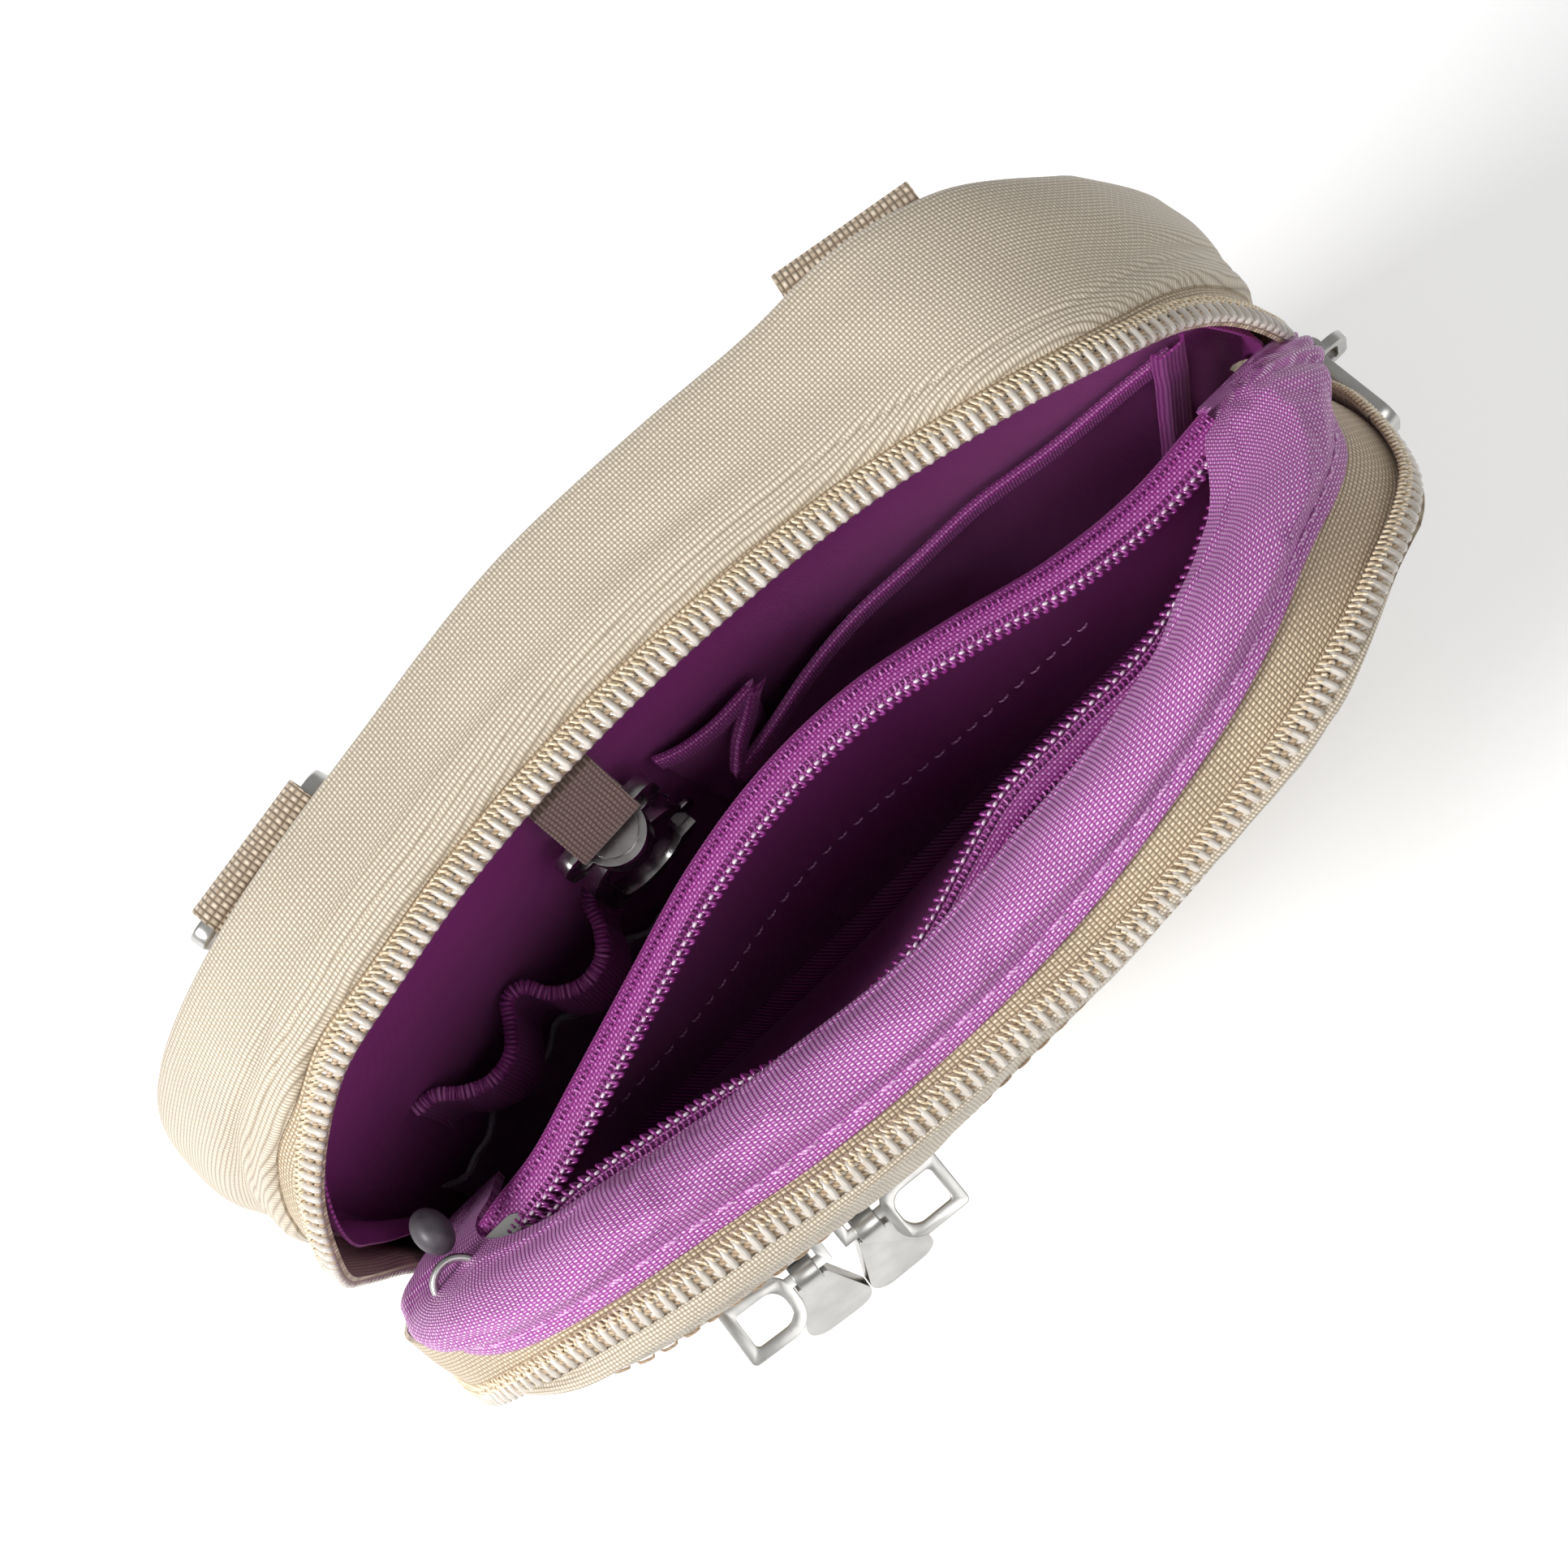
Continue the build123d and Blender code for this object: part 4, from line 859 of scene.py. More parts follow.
def front_tape_grid(low, high, count):
    """The tape between two places along the outline, from the coil to the facing."""
    s = np.linspace(low, high, count)
    coil = read_at(front_zip_depth, s)
    edge = read_at(facing_edge, s) + 1.5
    out = read_at(front_zip_out, s)
    lines = []
    for share, lift in ((0.0, -0.55), (0.2, -0.45), (0.65, -0.5), (1.0, -0.9)):
        dip = 0.25 * np.sin(s * 0.21 + 3 * share) * math.sin(math.pi * share)
        depth = coil - 1.9 + (edge - coil + 1.9) * share
        lines.append(front_place(s, depth, out * (1 - share) + lift + dip))
    return lofted(lines, 12)


FRONT_ZIP_FOOT = 43.0
tape_foot = FRONT_HALF - TOP_ROUND + GUSSET_TURN + HIGH - TOP_ROUND - FRONT_ZIP_FOOT
piece = cut_cloth(front_tape_grid(-tape_foot, 98.0, 200), 0.6)
finish_mesh(piece, "front_zip_tape", tape_cloth, None, ("main_tape_front",))
zip_blend(piece, False)
piece = cut_cloth(front_tape_grid(97.5, 130.0, 34), 0.6)
finish_mesh(piece, "front_zip_tape_right", tape_cloth)
zip_blend(piece, True)


def front_teeth(name, low, high, count, sideways):
    """The front half's coil between two places along the outline."""
    s = np.linspace(low, high, count)
    depth, out = read_at(front_zip_depth, s), read_at(front_zip_out, s)
    path = front_place(s, depth - 0.2, out + 0.25)
    lift = front_place(s, depth - 0.2, out + 1.25) - path
    zip_teeth(name, path, lift, None, () if sideways else ("main_coil_front",), wide=3.4,
              blend=lambda piece: zip_blend(piece, sideways))


front_teeth("main_zip_coil_front", -tape_foot, 97.5, 320, False)
front_teeth("main_zip_coil_right", 97.5, 129.5, 60, True)

# The facing: lighter purple cloth wrapped over a soft roll behind the front zip, sewn
# down along its outer edge with a row of pink thread.
roll_inner = ((-204.5, 20.0), (-116.5, 20.0), (-91.5, 20.0), (-74.5, 19.8), (-60.5, 20.0),
              (-50, 20.7), (-36, 20.2), (-22, 20.0), (-2, 18.8), (16, 20.0), (32, 20.2),
              (45, 21.4), (53, 22.5), (57, 22.7), (62, 23.1), (70, 23.9), (78, 26.1), (81.4, 27.2),
              (100, 28.5), (122, 29.0))
# Lilac facing: the darkest colour is painted shade in the gaps, the near-white one a painted
# highlight on the thread tops.
facing_cloth = woven("lilac_facing", (0.25, 0.02, 0.21), (0.44, 0.10, 0.40), (0.95, 0.72, 0.93),
                     (0.62, 0.40), 0.34, 0.12, (1.0, 0.7, 1.0), 0.2)
s = np.linspace(-138, 112, 250)
edge = read_at(facing_edge, s)
inner = read_at(roll_inner, s)
gather = ease(s, 78, 100)
sunk = 7.5 * ease(-s, 68, 110)
lines = []
for share, lift in ((0.0, -0.35), (0.0, 0.35), (0.10, 0.65), (0.19, 0.4), (0.25, 1.3),
                    (0.37, 2.6), (0.53, 3.3), (0.70, 2.9), (0.85, 1.5), (0.96, -0.9),
                    (1.0, -3.8), (1.0, -7.5), (0.99, -12.0)):
    ripple = 0.18 * np.sin(s * 0.33 + 6 * share) + 0.22 * np.sin(s * 0.12 + 2)
    ripple = ripple * math.sin(math.pi * share)
    pucker = 0.5 * gather * np.sin(s * 0.9 + 8 * share) * min(1.0, share * 3)
    out = lift + ripple + pucker + 1.2 * gather * share - sunk
    lines.append(front_place(s, edge + (inner - edge) * share, out))
grid = lofted(lines, 44)
facing = cut_cloth(grid, 1.2)
held = np.zeros(grid.shape[:2], bool)
held[:9] = held[-8:] = held[:, :3] = held[:, -3:] = True
fill_out(facing, held, 0.7)
finish_mesh(facing, "facing_roll", facing_cloth, "front", ("front_facing",))
# The lighter colour is the painted highlight on the thread's twist.
pink_thread = spun("pink_sewing_thread", (0.42, 0.10, 0.38), (0.80, 0.50, 0.76), rough=0.35)
flange = edge + (inner - edge) * 0.17
path = front_place(s, flange, 0.5 - sunk)
lift = front_place(s, flange, 1.5 - sunk) - path
piece = thread(stitches(path, lift, 2.6, 1.3, 0.3), 0.2)
finish_mesh(piece, "facing_stitches", pink_thread, "front")

# The lining of the front half: a deep purple twill that falls from the roll to the fold.
# It is fine diagonal ribs with a silky sheen, sewn in at the sides and the foot.
RIB_PITCH = 0.5
lining_cloth, tree, shader = empty_material("purple_lining")
place = add_node(tree, "TexCoord", {}).outputs
scale = 2 * math.pi / (10 * RIB_PITCH * 1.414)
ribs = add_node(tree, "TexWave", {"Vector": place["UV"], "Scale": scale, "Distortion": 0.4,
                                  "Detail": 1.0})
ribs.bands_direction = "DIAGONAL"
level = ranged(tree, noise(tree, place["Object"], 45.0)["Fac"], 0.85, 1.15)
# The ramp paints shade into the grooves between the twill ribs and lighter colour onto the rib tops.
painted_rib_shading = ((0.0, (0.06, 0.004, 0.05)), (1.0, (0.42, 0.055, 0.33)))
coloured(tree, shader, ribs.outputs["Fac"], painted_rib_shading, level)
raised(tree, shader, ribs.outputs["Fac"], 0.6, 0.1)
connect(shader, {"Roughness": 0.4, "Sheen Weight": 0.22, "Sheen Roughness": 0.35,
                 "Sheen Tint": (0.9, 0.3, 0.75, 1.0)})


def lining_rows(low, top, flat_count, round_count):
    """Heights for the rows of a lining, closer together towards its top."""
    rounded = 112 + top * np.sin(np.linspace(0.08, math.pi / 2, round_count))
    return np.concatenate((np.linspace(low, 112, flat_count), rounded))


rows = lining_rows(2, 34, 34, 16)
x, z = spread(rows, width_at(np.minimum(rows + 2, 150), FRONT_HALF) - 2.6, crowded(1.3, 61))
y = FRONT_Y + 9.6 + bowed(x) + 0.5 * np.sin(x * 0.09 + z * 0.06)
front_lining = cut_cloth(leaned(np.stack((-x, y, z), axis=-1), z), 0.5)
finish_mesh(front_lining, "front_lining_cloth", lining_cloth, None,
            ("front_lining", "lining_lower_front"))
bend_at_fold(front_lining)

# The lining of the back half, hung in front of the padded back, and the strip of lining
# inside the gusset, which is caught in the seam with the zip tape.
LINING_Y = 9.7
rows = lining_rows(1.2, 36.4, 30, 18)
x, z = spread(rows, width_at(np.minimum(rows + 1.5, 150), BACK_HALF) - 1.9, crowded(1.3, 81))
y = LINING_Y - bowed(x) + 0.45 * np.sin(x * 0.07 + 1) * np.sin(z * 0.06)
y = y + 1.2 * ease(z, 132, 148)
back_lining = cut_cloth(np.stack((x, y, z), axis=-1), 0.6)
finish_mesh(back_lining, "back_lining_cloth", lining_cloth, "pouch", ("lining_back",))
s = np.linspace(-303, 303, 300)
x, z, _, _ = outline(s, BACK_HALF)
zip_y = read_at(back_zip_line, s) + 1.2
zip_out = read_at(back_zip_out, s)
front_edge = zip_y + (FRONT_Y + bowed(x) + 3.0 - zip_y) * (1 - ease(z, 34, 44))
rear = LINING_Y - bowed(x) + 1.5
lines = []
for share, out in ((0.0, -2.0), (0.35, -1.9), (0.7, -1.9), (1.0, -1.7)):
    at_rear = ease(share, 0.3, 0.8)
    tucked = (zip_out * 1.2 - 1.0) * (1 - at_rear) + (np.maximum(zip_out, -3.0) - 0.9) * at_rear
    out_here = out + tucked + 0.3 * np.sin(s * 0.2 + 4 * share)
    lines.append(back_place(s, front_edge + (rear - front_edge) * share, out_here))
lining_strip = cut_cloth(lofted(lines, 14)[::-1], 0.4)
finish_mesh(lining_strip, "lining_gusset_strip", lining_cloth, "pouch", ("lining_gusset",))

s = np.linspace(-foot_s + 6, -92, 110)
depth = read_at(front_zip_depth, s)
lines = []
for share in (0.0, 0.3, 0.65, 1.0):
    out = np.minimum(read_at(front_zip_out, s), 1.0) * share - 2.6
    out = out + 0.3 * np.sin(s * 0.23 + 4 * share)
    lines.append(front_place(s, 2.6 + (depth - 2.2) * share, out))
side_lining = cut_cloth(lofted(lines, 14)[::-1], 0.4)
finish_mesh(side_lining, "lining_side_left", lining_cloth)
zip_blend(side_lining, False)

# The inside zip pocket: two lining walls on a narrow floor, with a thin purple zip whose
# two halves are pulled apart by the open mouth.
front_lip = ((-66, -27.0, 126.5), (-61, -26.0, 127.0), (-54, -25.5, 128), (-41, -27.5, 128.5),
             (-30, -30, 129), (-21, -33, 130), (-1, -33.6, 131), (9, -30.6, 131), (18, -28, 131),
             (29.5, -27.5, 131), (45, -27, 131), (55, -24, 131), (62, -20.5, 131),
             (69, -17.0, 131))
rear_lip = ((-66, -25.9, 126.5), (-60, -24.9, 127.5), (-53, -24.2, 129), (-44, -21.6, 130),
            (-30, -17.2, 130.5), (-14, -12.4, 131), (-0.7, -10.2, 131), (15, -10.3, 131),
            (29, -13.0, 131), (43, -16.4, 131), (56, -17.6, 131), (69, -16.6, 131))
front_line = smooth_line(front_lip, 140)
rear_line = smooth_line(rear_lip, 140)
WALL_COLUMNS = len(rear_line)
share_along = np.linspace(0, 1, WALL_COLUMNS)[:, None]
floor_line = np.column_stack((np.linspace(-64, 66, WALL_COLUMNS), -15.0 + 0 * share_along,
                              57.0 + 0 * share_along))
UP = np.array((0.0, 0.0, 1.0))
REAR = np.array((0.0, 1.0, 0.0))


def lifted(line, offsets, across=REAR):
    """Copies of a line moved by (across, up) offsets."""
    return [line + across * sideways + UP * up for sideways, up in offsets]


rear_fold = 0.6 * np.sin(share_along * 17) * REAR
rear_lines = lifted(rear_line, ((1.2, -0.3), (3.2, -0.9), (5.0, -2.4), (5.4, -5.5)))
for t in (0.15, 0.35, 0.6, 0.85, 1.0):
    top = rear_line + REAR * (5.0 - 3 * t) - UP * 6
    slack = rear_fold * math.sin(math.pi * t) + REAR * 1.5 * math.sin(math.pi * t)
    rear_lines.append(top + (floor_line + REAR * 2.0 - top) * t + slack)
piece = cut_cloth(lofted(rear_lines, 60), 0.5, side=1.0)
finish_mesh(piece, "inner_pocket_rear_wall", lining_cloth, "front",
            ("inner_pocket_rear",))
sewn = rear_lines[6][18:118] - REAR * 0.35
piece = thread(stitches(sewn, np.tile(-REAR, (len(sewn), 1)), 1.6, 1.2, 0.2), 0.15)
finish_mesh(piece, "inner_pocket_stitches", pink_thread, "front")
front_lines = lifted(front_line, ((-1.2, -0.3), (-3.0, -0.7), (-4.4, -2.0)))
for t in (0.12, 0.35, 0.6, 0.85, 1.0):
    top = front_line - REAR * 3.6 - UP * 3
    slack = REAR * 0.8 * math.sin(3 * math.pi * t)
    front_lines.append(top + (floor_line - REAR * 0.6 - top) * t + slack)
front_lines.append(floor_line + REAR * 2.4 - UP * 0.6)
piece = cut_cloth(lofted(front_lines, 60), 0.5)
finish_mesh(piece, "inner_pocket_front_wall", lining_cloth, "front",
            ("inner_pocket_front",))

# Purple tape: the darkest colour is painted shade in the gaps, the lightest a painted highlight on
# the thread tops.
purple_tape = woven("purple_zip_tape", (0.12, 0.006, 0.095), (0.32, 0.035, 0.26), (0.66, 0.26, 0.60),
                    (0.50, 0.50), 0.4, 0.15, (0.9, 0.4, 0.85), 0.12)
purple_coil = moulded("purple_zip_coil", (0.20, 0.015, 0.16), (0.36, 0.06, 0.30), 0.2, 0.6)
# Painted glints: pale beads in a near-white colour, set where the inside zip's coil loops catch the
# light.
painted_glint = moulded("pale_zip_beads", (0.62, 0.40, 0.58), (0.85, 0.72, 0.83), 0.18, 0.8)
upward = np.tile(UP, (WALL_COLUMNS, 1))
for side, line, end, closed in ((1, rear_line, "rear", ()),
                                (-1, front_line, "front", ("inner_zip_closed",))):
    across = REAR * side
    band = lifted(line, ((0.2, 0.1), (1.6, -0.05), (3.3, -0.45), (4.9, -1.8)), across)
    piece = cut_cloth(lofted(band, 12), 0.5, side=0.0)
    node = "inner_tape_" + end
    finish_mesh(piece, node + "_band", purple_tape, "front", (node,))
    node = "inner_coil_" + end
    piece = thread([coil_lines(line + UP * 0.3, upward, 1.3, 1.0, 0.8, lean=0.2)], 0.25)
    finish_mesh(piece, node + "_loops", purple_coil, "front", (node, *closed))
    # A row of pale beads over each coil paints the glints on its loops.
    piece = thread(stitches(line + UP * 0.72 + across * 0.35, upward, 0.62, 0.68, 0.12), 0.24)
    finish_mesh(piece, node + "_beads", painted_glint, "front")
    for number, inset_by, up in ((1, 1.25, 0.35), (3, 3.9, -0.6)):
        braid = coil_lines(line + across * inset_by + UP * up, upward, 0.8, 0.5, 0.5, steps=8)
        piece = thread([braid], 0.2)
        finish_mesh(piece, f"{node}_cord_{number}", purple_tape, "front")

# The slip pocket on the back lining: lining cloth with a hemmed top edge that stands a
# little open, sewn down the right side, with a folded pleat at its upper left corner.
hem_line = smooth_line(((73, -0.3, 119), (65.6, 1.1, 116), (55, 2.6, 113), (42.8, 4.5, 112),
                        (31.6, 5.2, 110), (21.8, 5.9, 108), (13, 5.4, 106), (5, 4.0, 104.8),
                        (-2, 2.6, 105)), 90)
pleat_line = smooth_line(((-2, 2.6, 105), (-2.6, 2.4, 106), (-0.5, 4.2, 108.5), (5, 6.9, 112.5),
                          (6.0, 7.4, 114), (4.2, 7.2, 114.6), (-1, 6.8, 115.6), (-6.5, 7.4, 117),
                          (-9, 8.2, 118)), 60)
mouth = np.vstack((hem_line, pleat_line[1:]))
foot_x = np.interp(np.arange(len(mouth)), (0, 89, 148), (72, 0.5, -4))
foot = np.column_stack((foot_x, LINING_Y - 1.1 - bowed(foot_x), 30 + 0 * foot_x))
away = np.array((0.0, -1.0, 0.0))
lines = []
for t in (0.0, 0.2, 0.45, 0.7, 0.88, 1.0):
    line = foot + (mouth - foot) * t
    flat_y = LINING_Y - 1.1 - bowed(line[:, 0])
    bulge = 0.4 * np.sin(line[:, 0] * 0.15 + 5 * t) * t * (1 - t) * 4
    line[:, 1] = flat_y + (line[:, 1] - flat_y) * t + bulge
    lines.append(line)
grid = lofted(lines, 46)
piece = cut_cloth(grid, 0.5, side=1.0)
finish_mesh(piece, "slip_pocket_cloth", lining_cloth, "pouch", ("slip_pocket",))
# Binding: the darkest colour is painted shade in the gaps, the lightest a painted highlight on the
# thread tops.
binding = woven("purple_binding", (0.12, 0.008, 0.095), (0.30, 0.035, 0.24), (0.60, 0.20, 0.52),
                (0.42, 0.6), 0.42, 0.2, (0.9, 0.4, 0.85), 0.1)
hem_lines = lifted(mouth, ((0.45, -4.2), (0.7, -3.9), (0.8, -1.5), (0.5, 0.35), (0.0, 0.45),
                           (-0.4, 0.1), (-0.5, -1.0)), away)
piece = cut_cloth(lofted(hem_lines, 18), 0.35, side=1.0)
finish_mesh(piece, "slip_pocket_hem", binding, "pouch", ("slip_pocket_binding",))
seam_line = smooth_line(((72.5, -0.9, 124), (72.0, -1.2, 112), (71.5, -0.9, 96), (71, -0.6, 80),
                         (70.5, -0.3, 66)), 50)
sides = [seam_line + np.array((dx, dy, 0.0))
         for dx, dy in ((-2.4, 0.5), (-2.0, -0.5), (0.0, -0.9), (2.0, -0.7), (2.4, 0.3))]
piece = cut_cloth(lofted(sides, 12), 0.35, side=0.0)
finish_mesh(piece, "slip_pocket_side_binding", binding, "pouch")

# Two pen loops: ribbed elastic sewn to the back lining at three places, standing out in
# soft waves between them.
# Elastic: the darkest colour is painted shade in the gaps, the lightest a painted highlight on the
# thread tops.
elastic = woven("ribbed_elastic", (0.11, 0.008, 0.09), (0.29, 0.035, 0.23), (0.56, 0.19, 0.48),
                (0.55, 0.42), 0.45, 0.2, (0.9, 0.4, 0.85), 0.14)
loop_path = smooth_line(((-64, 0.2, 0), (-61, -0.6, 0), (-58, -3.4, 0), (-54, -5.6, 0),
                         (-49.5, -5.4, 0), (-47, -3.0, 0), (-45.2, -1.0, 0), (-43, -1.4, 0),
                         (-41, -4.6, 0), (-37, -7.4, 0), (-32.5, -7.2, 0), (-30, -4.4, 0),
                         (-28.6, -1.2, 0), (-26, -0.2, 0)), 110)
loop_x = loop_path[:, 0]
stand = loop_path[:, 1]
wall_y = LINING_Y - 0.9 - bowed(loop_x)
lines = []
for height in np.linspace(0, 1, 9):
    tilt = 1.0 + 0.12 * math.sin(3 * height)
    height_line = 72 + 22 * height + 0.5 * np.sin(loop_x * 0.4 + height)
    lines.append(np.column_stack((loop_x + 0.6 * height, wall_y + stand * tilt, height_line)))
piece = cut_cloth(lofted(lines, 30), 0.7, side=0.0)
finish_mesh(piece, "pen_loops_elastic", elastic, "pouch", ("pen_loops",))
ribs = coil_lines(lines[-1] + UP * 0.2, np.tile(UP, (len(loop_path), 1)), 0.62, 1.5, 1.1, steps=8)
piece = thread([ribs], 0.33)
finish_mesh(piece, "pen_loops_edge", elastic, "pouch", ("loop_binding",))

# The clear window under the pen loops: a soft, slightly rippled sheet of vinyl that is
# held by a bound edge along its top.
vinyl, tree, shader = empty_material("clear_vinyl")
connect(shader, {"Base Color": (0.86, 0.86, 0.90, 1.0), "Roughness": 0.12,
                 "Transmission Weight": 0.85, "IOR": 1.45})
place = add_node(tree, "TexCoord", {}).outputs["Object"]
raised(tree, shader, noise(tree, place, 55.0)["Fac"], 1.0, 0.4)
x, z = spread(np.linspace(16, 58, 20), np.ones(20), np.linspace(-72, -18, 50))
slack = (1.0 + 0.9 * np.sin(x * 0.45) + 0.5 * np.sin(x * 0.9 + 1)) * ease(z, 30, 58)
y = LINING_Y - 1.2 - bowed(x) - slack
piece = cut_cloth(np.stack((x, y, z), axis=-1), 0.35, side=1.0)
finish_mesh(piece, "clear_window", vinyl, "pouch", ("id_window",))
rim = np.stack((x[-1], y[-1], z[-1]), axis=-1)
piece = thread([rim + away * 0.2], 0.55)
finish_mesh(piece, "clear_window_rim", vinyl, "pouch", ("id_binding",))

# Strap tabs: doubled ribbed webbing sewn to the top of the back panel, each folded over
# the bar of a strap ring.
# Webbing: the darkest colour is painted shade in the gaps, the lightest a painted highlight on the
# thread tops.
webbing = woven("ribbed_webbing", (0.20, 0.14, 0.09), (0.46, 0.36, 0.26), (0.82, 0.70, 0.56),
                (0.95, 0.80), 0.6, 0.25, (1.0, 0.9, 0.75), 0.35)
TAB_TOP = 137.0
tab_sections = {
    "left": ((-3.4, -34), (-3.5, -22), (-3.3, -9), (-2.9, -3.5), (-1.9, 1.2), (0.0, 2.75),
             (1.9, 1.4), (2.3, -1.2), (1.5, -5.0), (-0.6, -9.5), (-1.7, -14), (-1.9, -24),
             (-2.0, -34)),
    "right": ((-3.4, -34), (-3.3, -22), (-3.0, -9), (-2.6, -3.5), (-0.6, 2.6), (2.0, 5.4),
              (3.9, 5.2), (4.6, 3.0), (3.8, -1.0), (2.0, -6.0), (0.0, -11.0), (-1.2, -15),
              (-1.7, -24), (-2.0, -34))}


def folded_tape(section, count, bar, along, out, offsets):
    """Lines for a tape folded over a bar: its section is drawn in (out, up) from the bar."""
    path = smooth_line([(0, away_by, up) for away_by, up in section], count)
    return [bar + along * across + path[:, 1:2] * out + path[:, 2:3] * UP for across in offsets]


for name, side, centre in (("left", -1, -51.58), ("right", 1, 51.58)):
    face = np.array((0.166 * side, 0.986, 0.0))
    side_way = np.array((0.986, -0.166 * side, 0.0))
    bar = np.array((centre, 29.18, TAB_TOP))
    lines = folded_tape(tab_sections[name], 70, bar, side_way, face, (-10, -9.4, -5, 0, 5, 9.4, 10))
    piece = cut_cloth(lofted(lines, 22), 1.1, side=0.0)
    finish_mesh(piece, "strap_tab_webbing_" + name, webbing, "pouch",
                ("strap_tab_" + name,))

# The key tape: a short brown ribbed tape from the top seam, folded over the bar that
# carries the snap hook.
# Key tape: the darkest colour is painted shade in the gaps, the lightest a painted highlight on the
# thread tops.
key_cloth = woven("brown_key_tape", (0.07, 0.045, 0.035), (0.22, 0.15, 0.12), (0.50, 0.38, 0.31),
                  (0.55, 0.62), 0.5, 0.3, (1.0, 0.85, 0.75), 0.16)
hook_bar = np.array((-18.72, 4.52, 128.0))
section = ((3.2, 19), (2.6, 13), (1.6, 6), (1.6, 1.0), (0.9, -1.35), (-0.9, -1.45), (-1.65, 0.6),
           (-1.2, 5), (0.6, 12), (2.2, 19))
lines = folded_tape(section, 60, hook_bar, np.array((0.998, 0.062, 0)), REAR, (-5, -4.7, 0, 4.7, 5))
piece = cut_cloth(lofted(lines, 14), 0.9, side=0.0)
finish_mesh(piece, "key_tape_loop", key_cloth, "pouch", ("key_tape",))

# The pocket zip across the front panel: a narrow coil closed between two tapes that lie
# in the slit.
def face_line(z, deeper, count=120):
    """A line along the front panel's face at one height, set deeper than the face."""
    x = np.linspace(-WINDOW_HALF + 0.5, WINDOW_HALF - 0.5, count)
    z = np.full_like(x, z)
    y = front_face(x, z, flat=True) + deeper
    return leaned(np.stack((x, y, z), axis=-1), z)


lines = [face_line(z, deeper) for z, deeper in (
    (120.9, 2.0), (122.0, 1.5), (124.4, 1.25), (126.0, 1.3), (127.6, 1.25), (130.0, 1.5),
    (131.1, 2.0))]
piece = cut_cloth(lofted(lines, 20), 0.5)
finish_mesh(piece, "pocket_zip_tape", tape_cloth, "front", ("pocket_tapes",))
middle = face_line(POCKET_ZIP_Z, 0.9, count=200)
out_way = face_line(POCKET_ZIP_Z, -0.1, count=200) - middle
POCKET_PITCH = 1.25
loops = coil_lines(middle, out_way, POCKET_PITCH, 3.3, 1.3, lean=0.25)
piece = thread([loops], 0.34)
finish_mesh(piece, "pocket_zip_coil", coil_plastic, "front", ("pocket_coil",))
bead = coil_lines(middle + out_way * 0.45, out_way, POCKET_PITCH, 0.9, 0.5, steps=8)
piece = thread([bead], 0.24)
finish_mesh(piece, "pocket_zip_bead", coil_plastic, "front")
face_rows = []
for z in (119.2, 132.8):
    path = face_line(z, -0.3)
    face_rows += stitches(path, face_line(z, -1.3) - path, 2.3, 0.9)
piece = thread(face_rows, 0.2)
finish_mesh(piece, "pocket_zip_stitches", sand_thread, "front")

# The closed run of the main zip below the slider on the right, where the two coils mesh
# between their tapes.
s = np.linspace(129, zip_end, 100)
path = back_place(s, read_at(back_zip_line, s) - 1.9, 0.5)
zip_teeth("main_zip_coil_closed", path, back_outward(s), "pouch", ())
tape_lines = [back_place(s, read_at(back_zip_line, s) - offset, out)
              for offset, out in ((0.6, -1.0), (2.5, -0.9), (4.2, -0.7), (7.0, -1.0))]
piece = cut_cloth(lofted(tape_lines, 12), 0.5, side=1.0)
finish_mesh(piece, "main_zip_tape_closed", tape_cloth, "pouch")

# The metal: cast sliders and pulls, wire rings and the trim bar in satin nickel, and the
# snap hook in a darker one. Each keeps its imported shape, with its edges rounded over.
def plated(name, colour, bright, rough):
    """Nickel plating: soft clouds of tone under fine brushing."""
    material, tree, shader = empty_material(name)
    place = add_node(tree, "TexCoord", {}).outputs["Object"]
    brushed = noise(tree, place, 700.0, 3.0)["Fac"]
    coloured(tree, shader, noise(tree, place, 180.0)["Fac"], ((0.3, colour), (0.7, bright)))
    connect(shader, {"Roughness": ranged(tree, brushed, rough * 0.7, rough * 1.4), "Metallic": 1.0})
    raised(tree, shader, brushed, 0.15, 0.03)
    return material


satin_nickel = plated("satin_nickel", (0.40, 0.39, 0.375), (0.54, 0.53, 0.51), 0.3)
dark_nickel = plated("dark_nickel", (0.28, 0.26, 0.26), (0.42, 0.40, 0.40), 0.24)
dark_rubber = moulded("dark_moulded_tab", (0.025, 0.02, 0.027), (0.06, 0.05, 0.06), 0.5, 0.1)


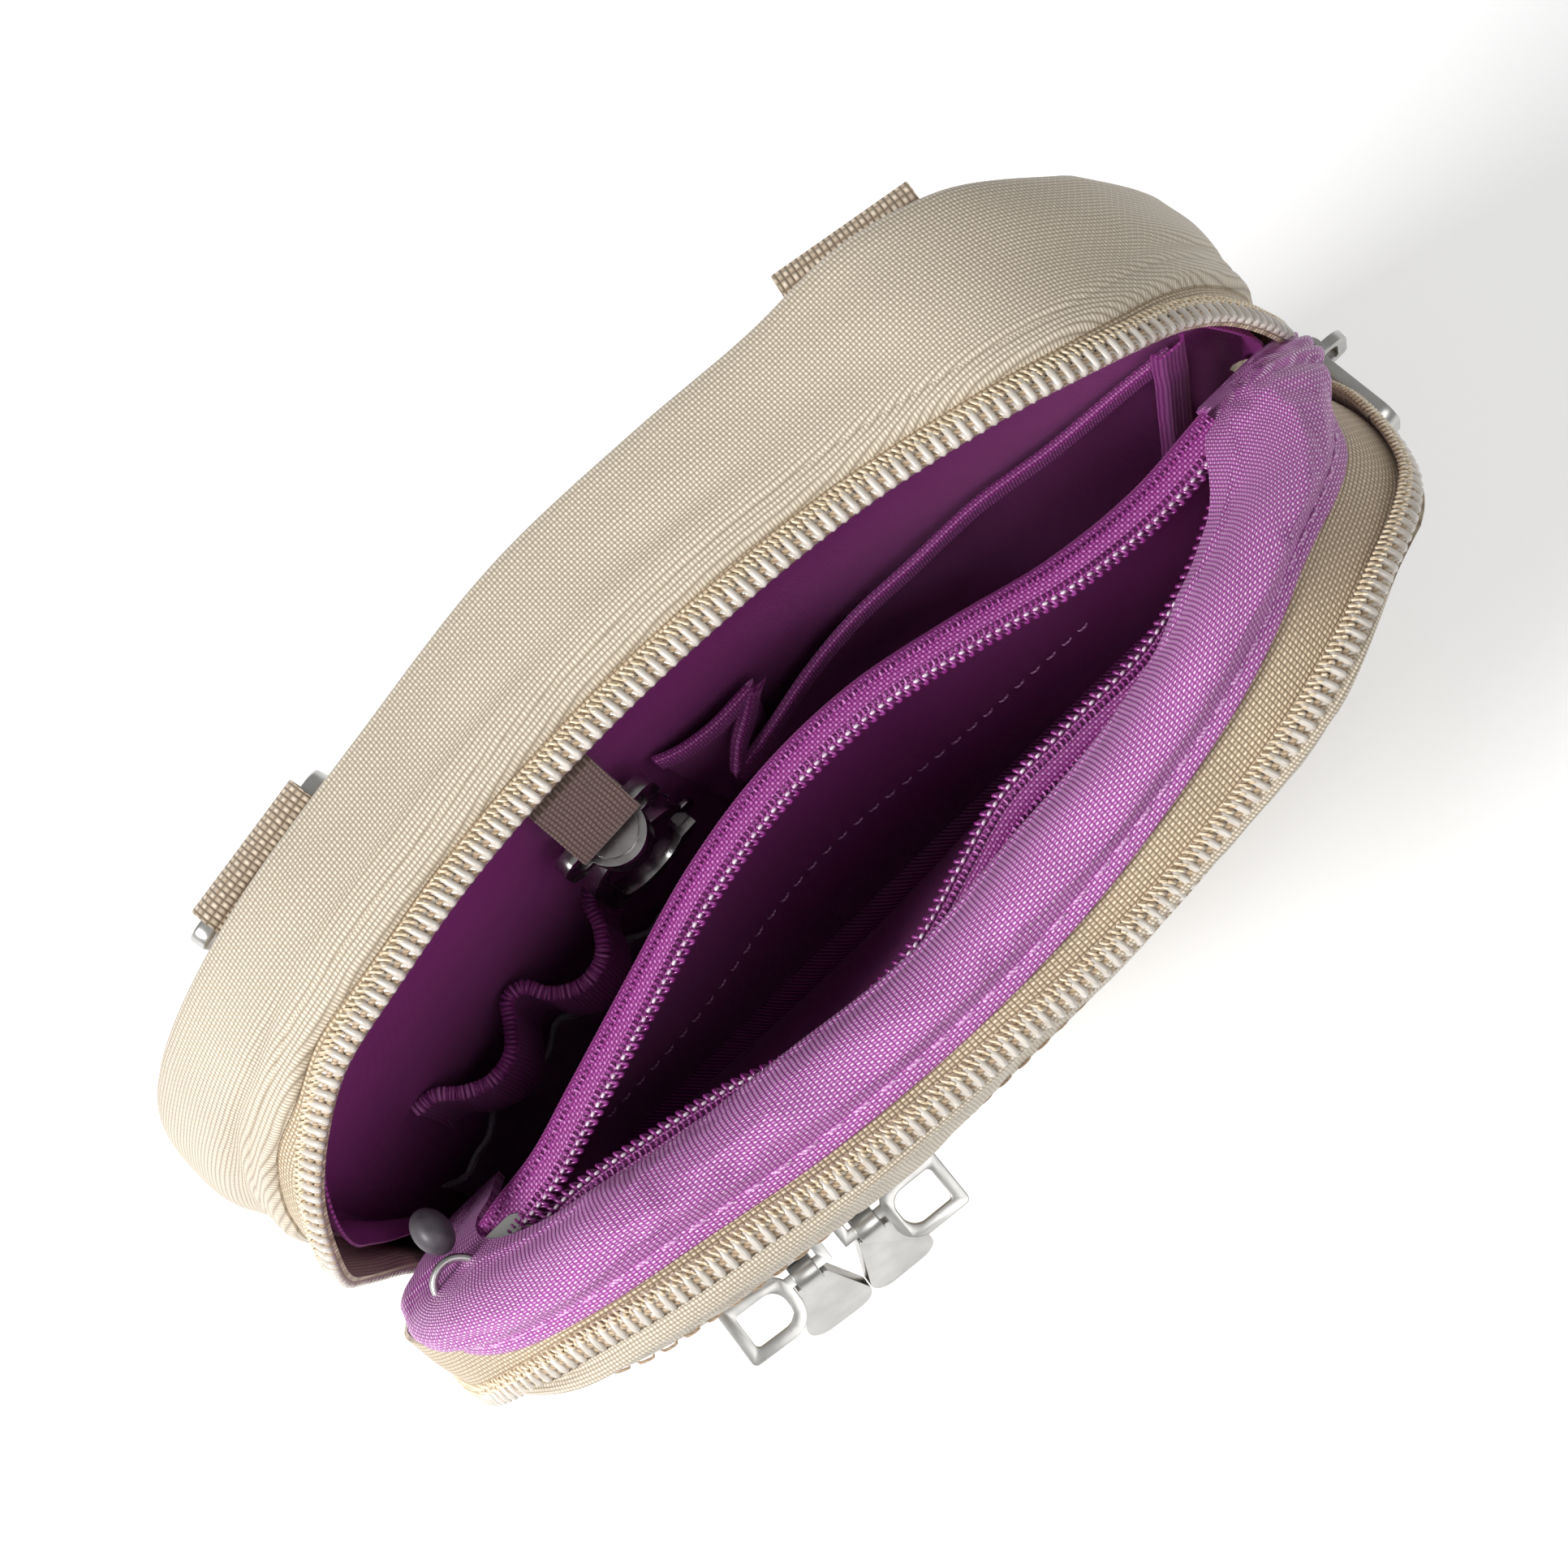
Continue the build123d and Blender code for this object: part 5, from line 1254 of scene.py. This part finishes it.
def dressed(node, body, material, edge):
    """A copy of a hard part with its edges rounded over, in place of the plain one."""
    bpy.ops.object.select_all(action="DESELECT")
    piece = frame["nodes"][node].copy()
    piece.data = frame["nodes"][node].data.copy()
    piece.parent = None
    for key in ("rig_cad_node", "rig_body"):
        if key in piece:
            del piece[key]
    bpy.context.scene.collection.objects.link(piece)
    piece.select_set(True)
    bpy.context.view_layer.objects.active = piece
    bpy.ops.object.mode_set(mode="EDIT")
    bpy.ops.mesh.select_all(action="SELECT")
    bpy.ops.mesh.remove_doubles(threshold=0.000005)
    bpy.ops.mesh.dissolve_limited(angle_limit=math.radians(2))
    bpy.ops.object.mode_set(mode="OBJECT")
    rounded = piece.modifiers.new("edges", "BEVEL")
    rounded.width = edge * MM
    rounded.segments = 2
    rounded.limit_method = "ANGLE"
    rounded.angle_limit = math.radians(35)
    bpy.ops.object.modifier_apply(modifier=rounded.name)
    bpy.ops.object.shade_smooth_by_angle(angle=math.radians(40))
    finish_mesh(piece, node + "_finished", material, body, (node,))


for node in ("main_slider", "main_pull", "pocket_slider_left", "pocket_pull_left",
             "pocket_slider_right", "pocket_pull_right"):
    dressed(node, node, satin_nickel, 0.2)
for node, body, edge in (("inner_slider", "inner_slider", 0.18),
                         ("strap_ring_left", "strap_ring_left", 0.4),
                         ("strap_ring_right", "strap_ring_right", 0.4), ("trim_bar", "front", 0.2)):
    dressed(node, body, satin_nickel, edge)
for node, body, edge in (("hook_loop", "hook_loop", 0.3), ("hook_body", "hook", 0.3),
                         ("hook_gate", "hook_gate", 0.15)):
    dressed(node, body, dark_nickel, edge)

# The inside zip's pull: a wire ring through the slider that holds a dark moulded ball.
bpy.ops.object.select_all(action="DESELECT")
bpy.ops.mesh.primitive_uv_sphere_add(segments=32, ring_count=20, radius=2.7 * MM,
                                     location=(-0.0672, -0.0185, 0.1345))
ball = bpy.context.object
bpy.ops.transform.resize(value=(0.9, 1.2, 0.9))
bpy.ops.object.transform_apply(location=True, rotation=True, scale=True)
bpy.ops.object.shade_smooth()
finish_mesh(ball, "inner_pull_ball", dark_rubber, "inner_pull", ("inner_pull",))
bpy.ops.mesh.primitive_torus_add(major_radius=3.1 * MM, minor_radius=0.55 * MM,
                                 major_segments=40, minor_segments=10,
                                 location=(-0.069, -0.0252, 0.1338), rotation=(0.35, 0.0, 0.0))
ring = bpy.context.object
bpy.ops.object.transform_apply(location=True, rotation=True, scale=True)
bpy.ops.object.shade_smooth()
finish_mesh(ring, "inner_pull_ring", satin_nickel, "inner_pull")

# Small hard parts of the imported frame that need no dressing, only their plating: the
# gate's pin and spring, and the zip's two stops.
for node, material in (("gate_pin", dark_nickel), ("gate_spring", dark_nickel),
                       ("zip_stops", satin_nickel)):
    frame["nodes"][node].data.materials.clear()
    frame["nodes"][node].data.materials.append(material)
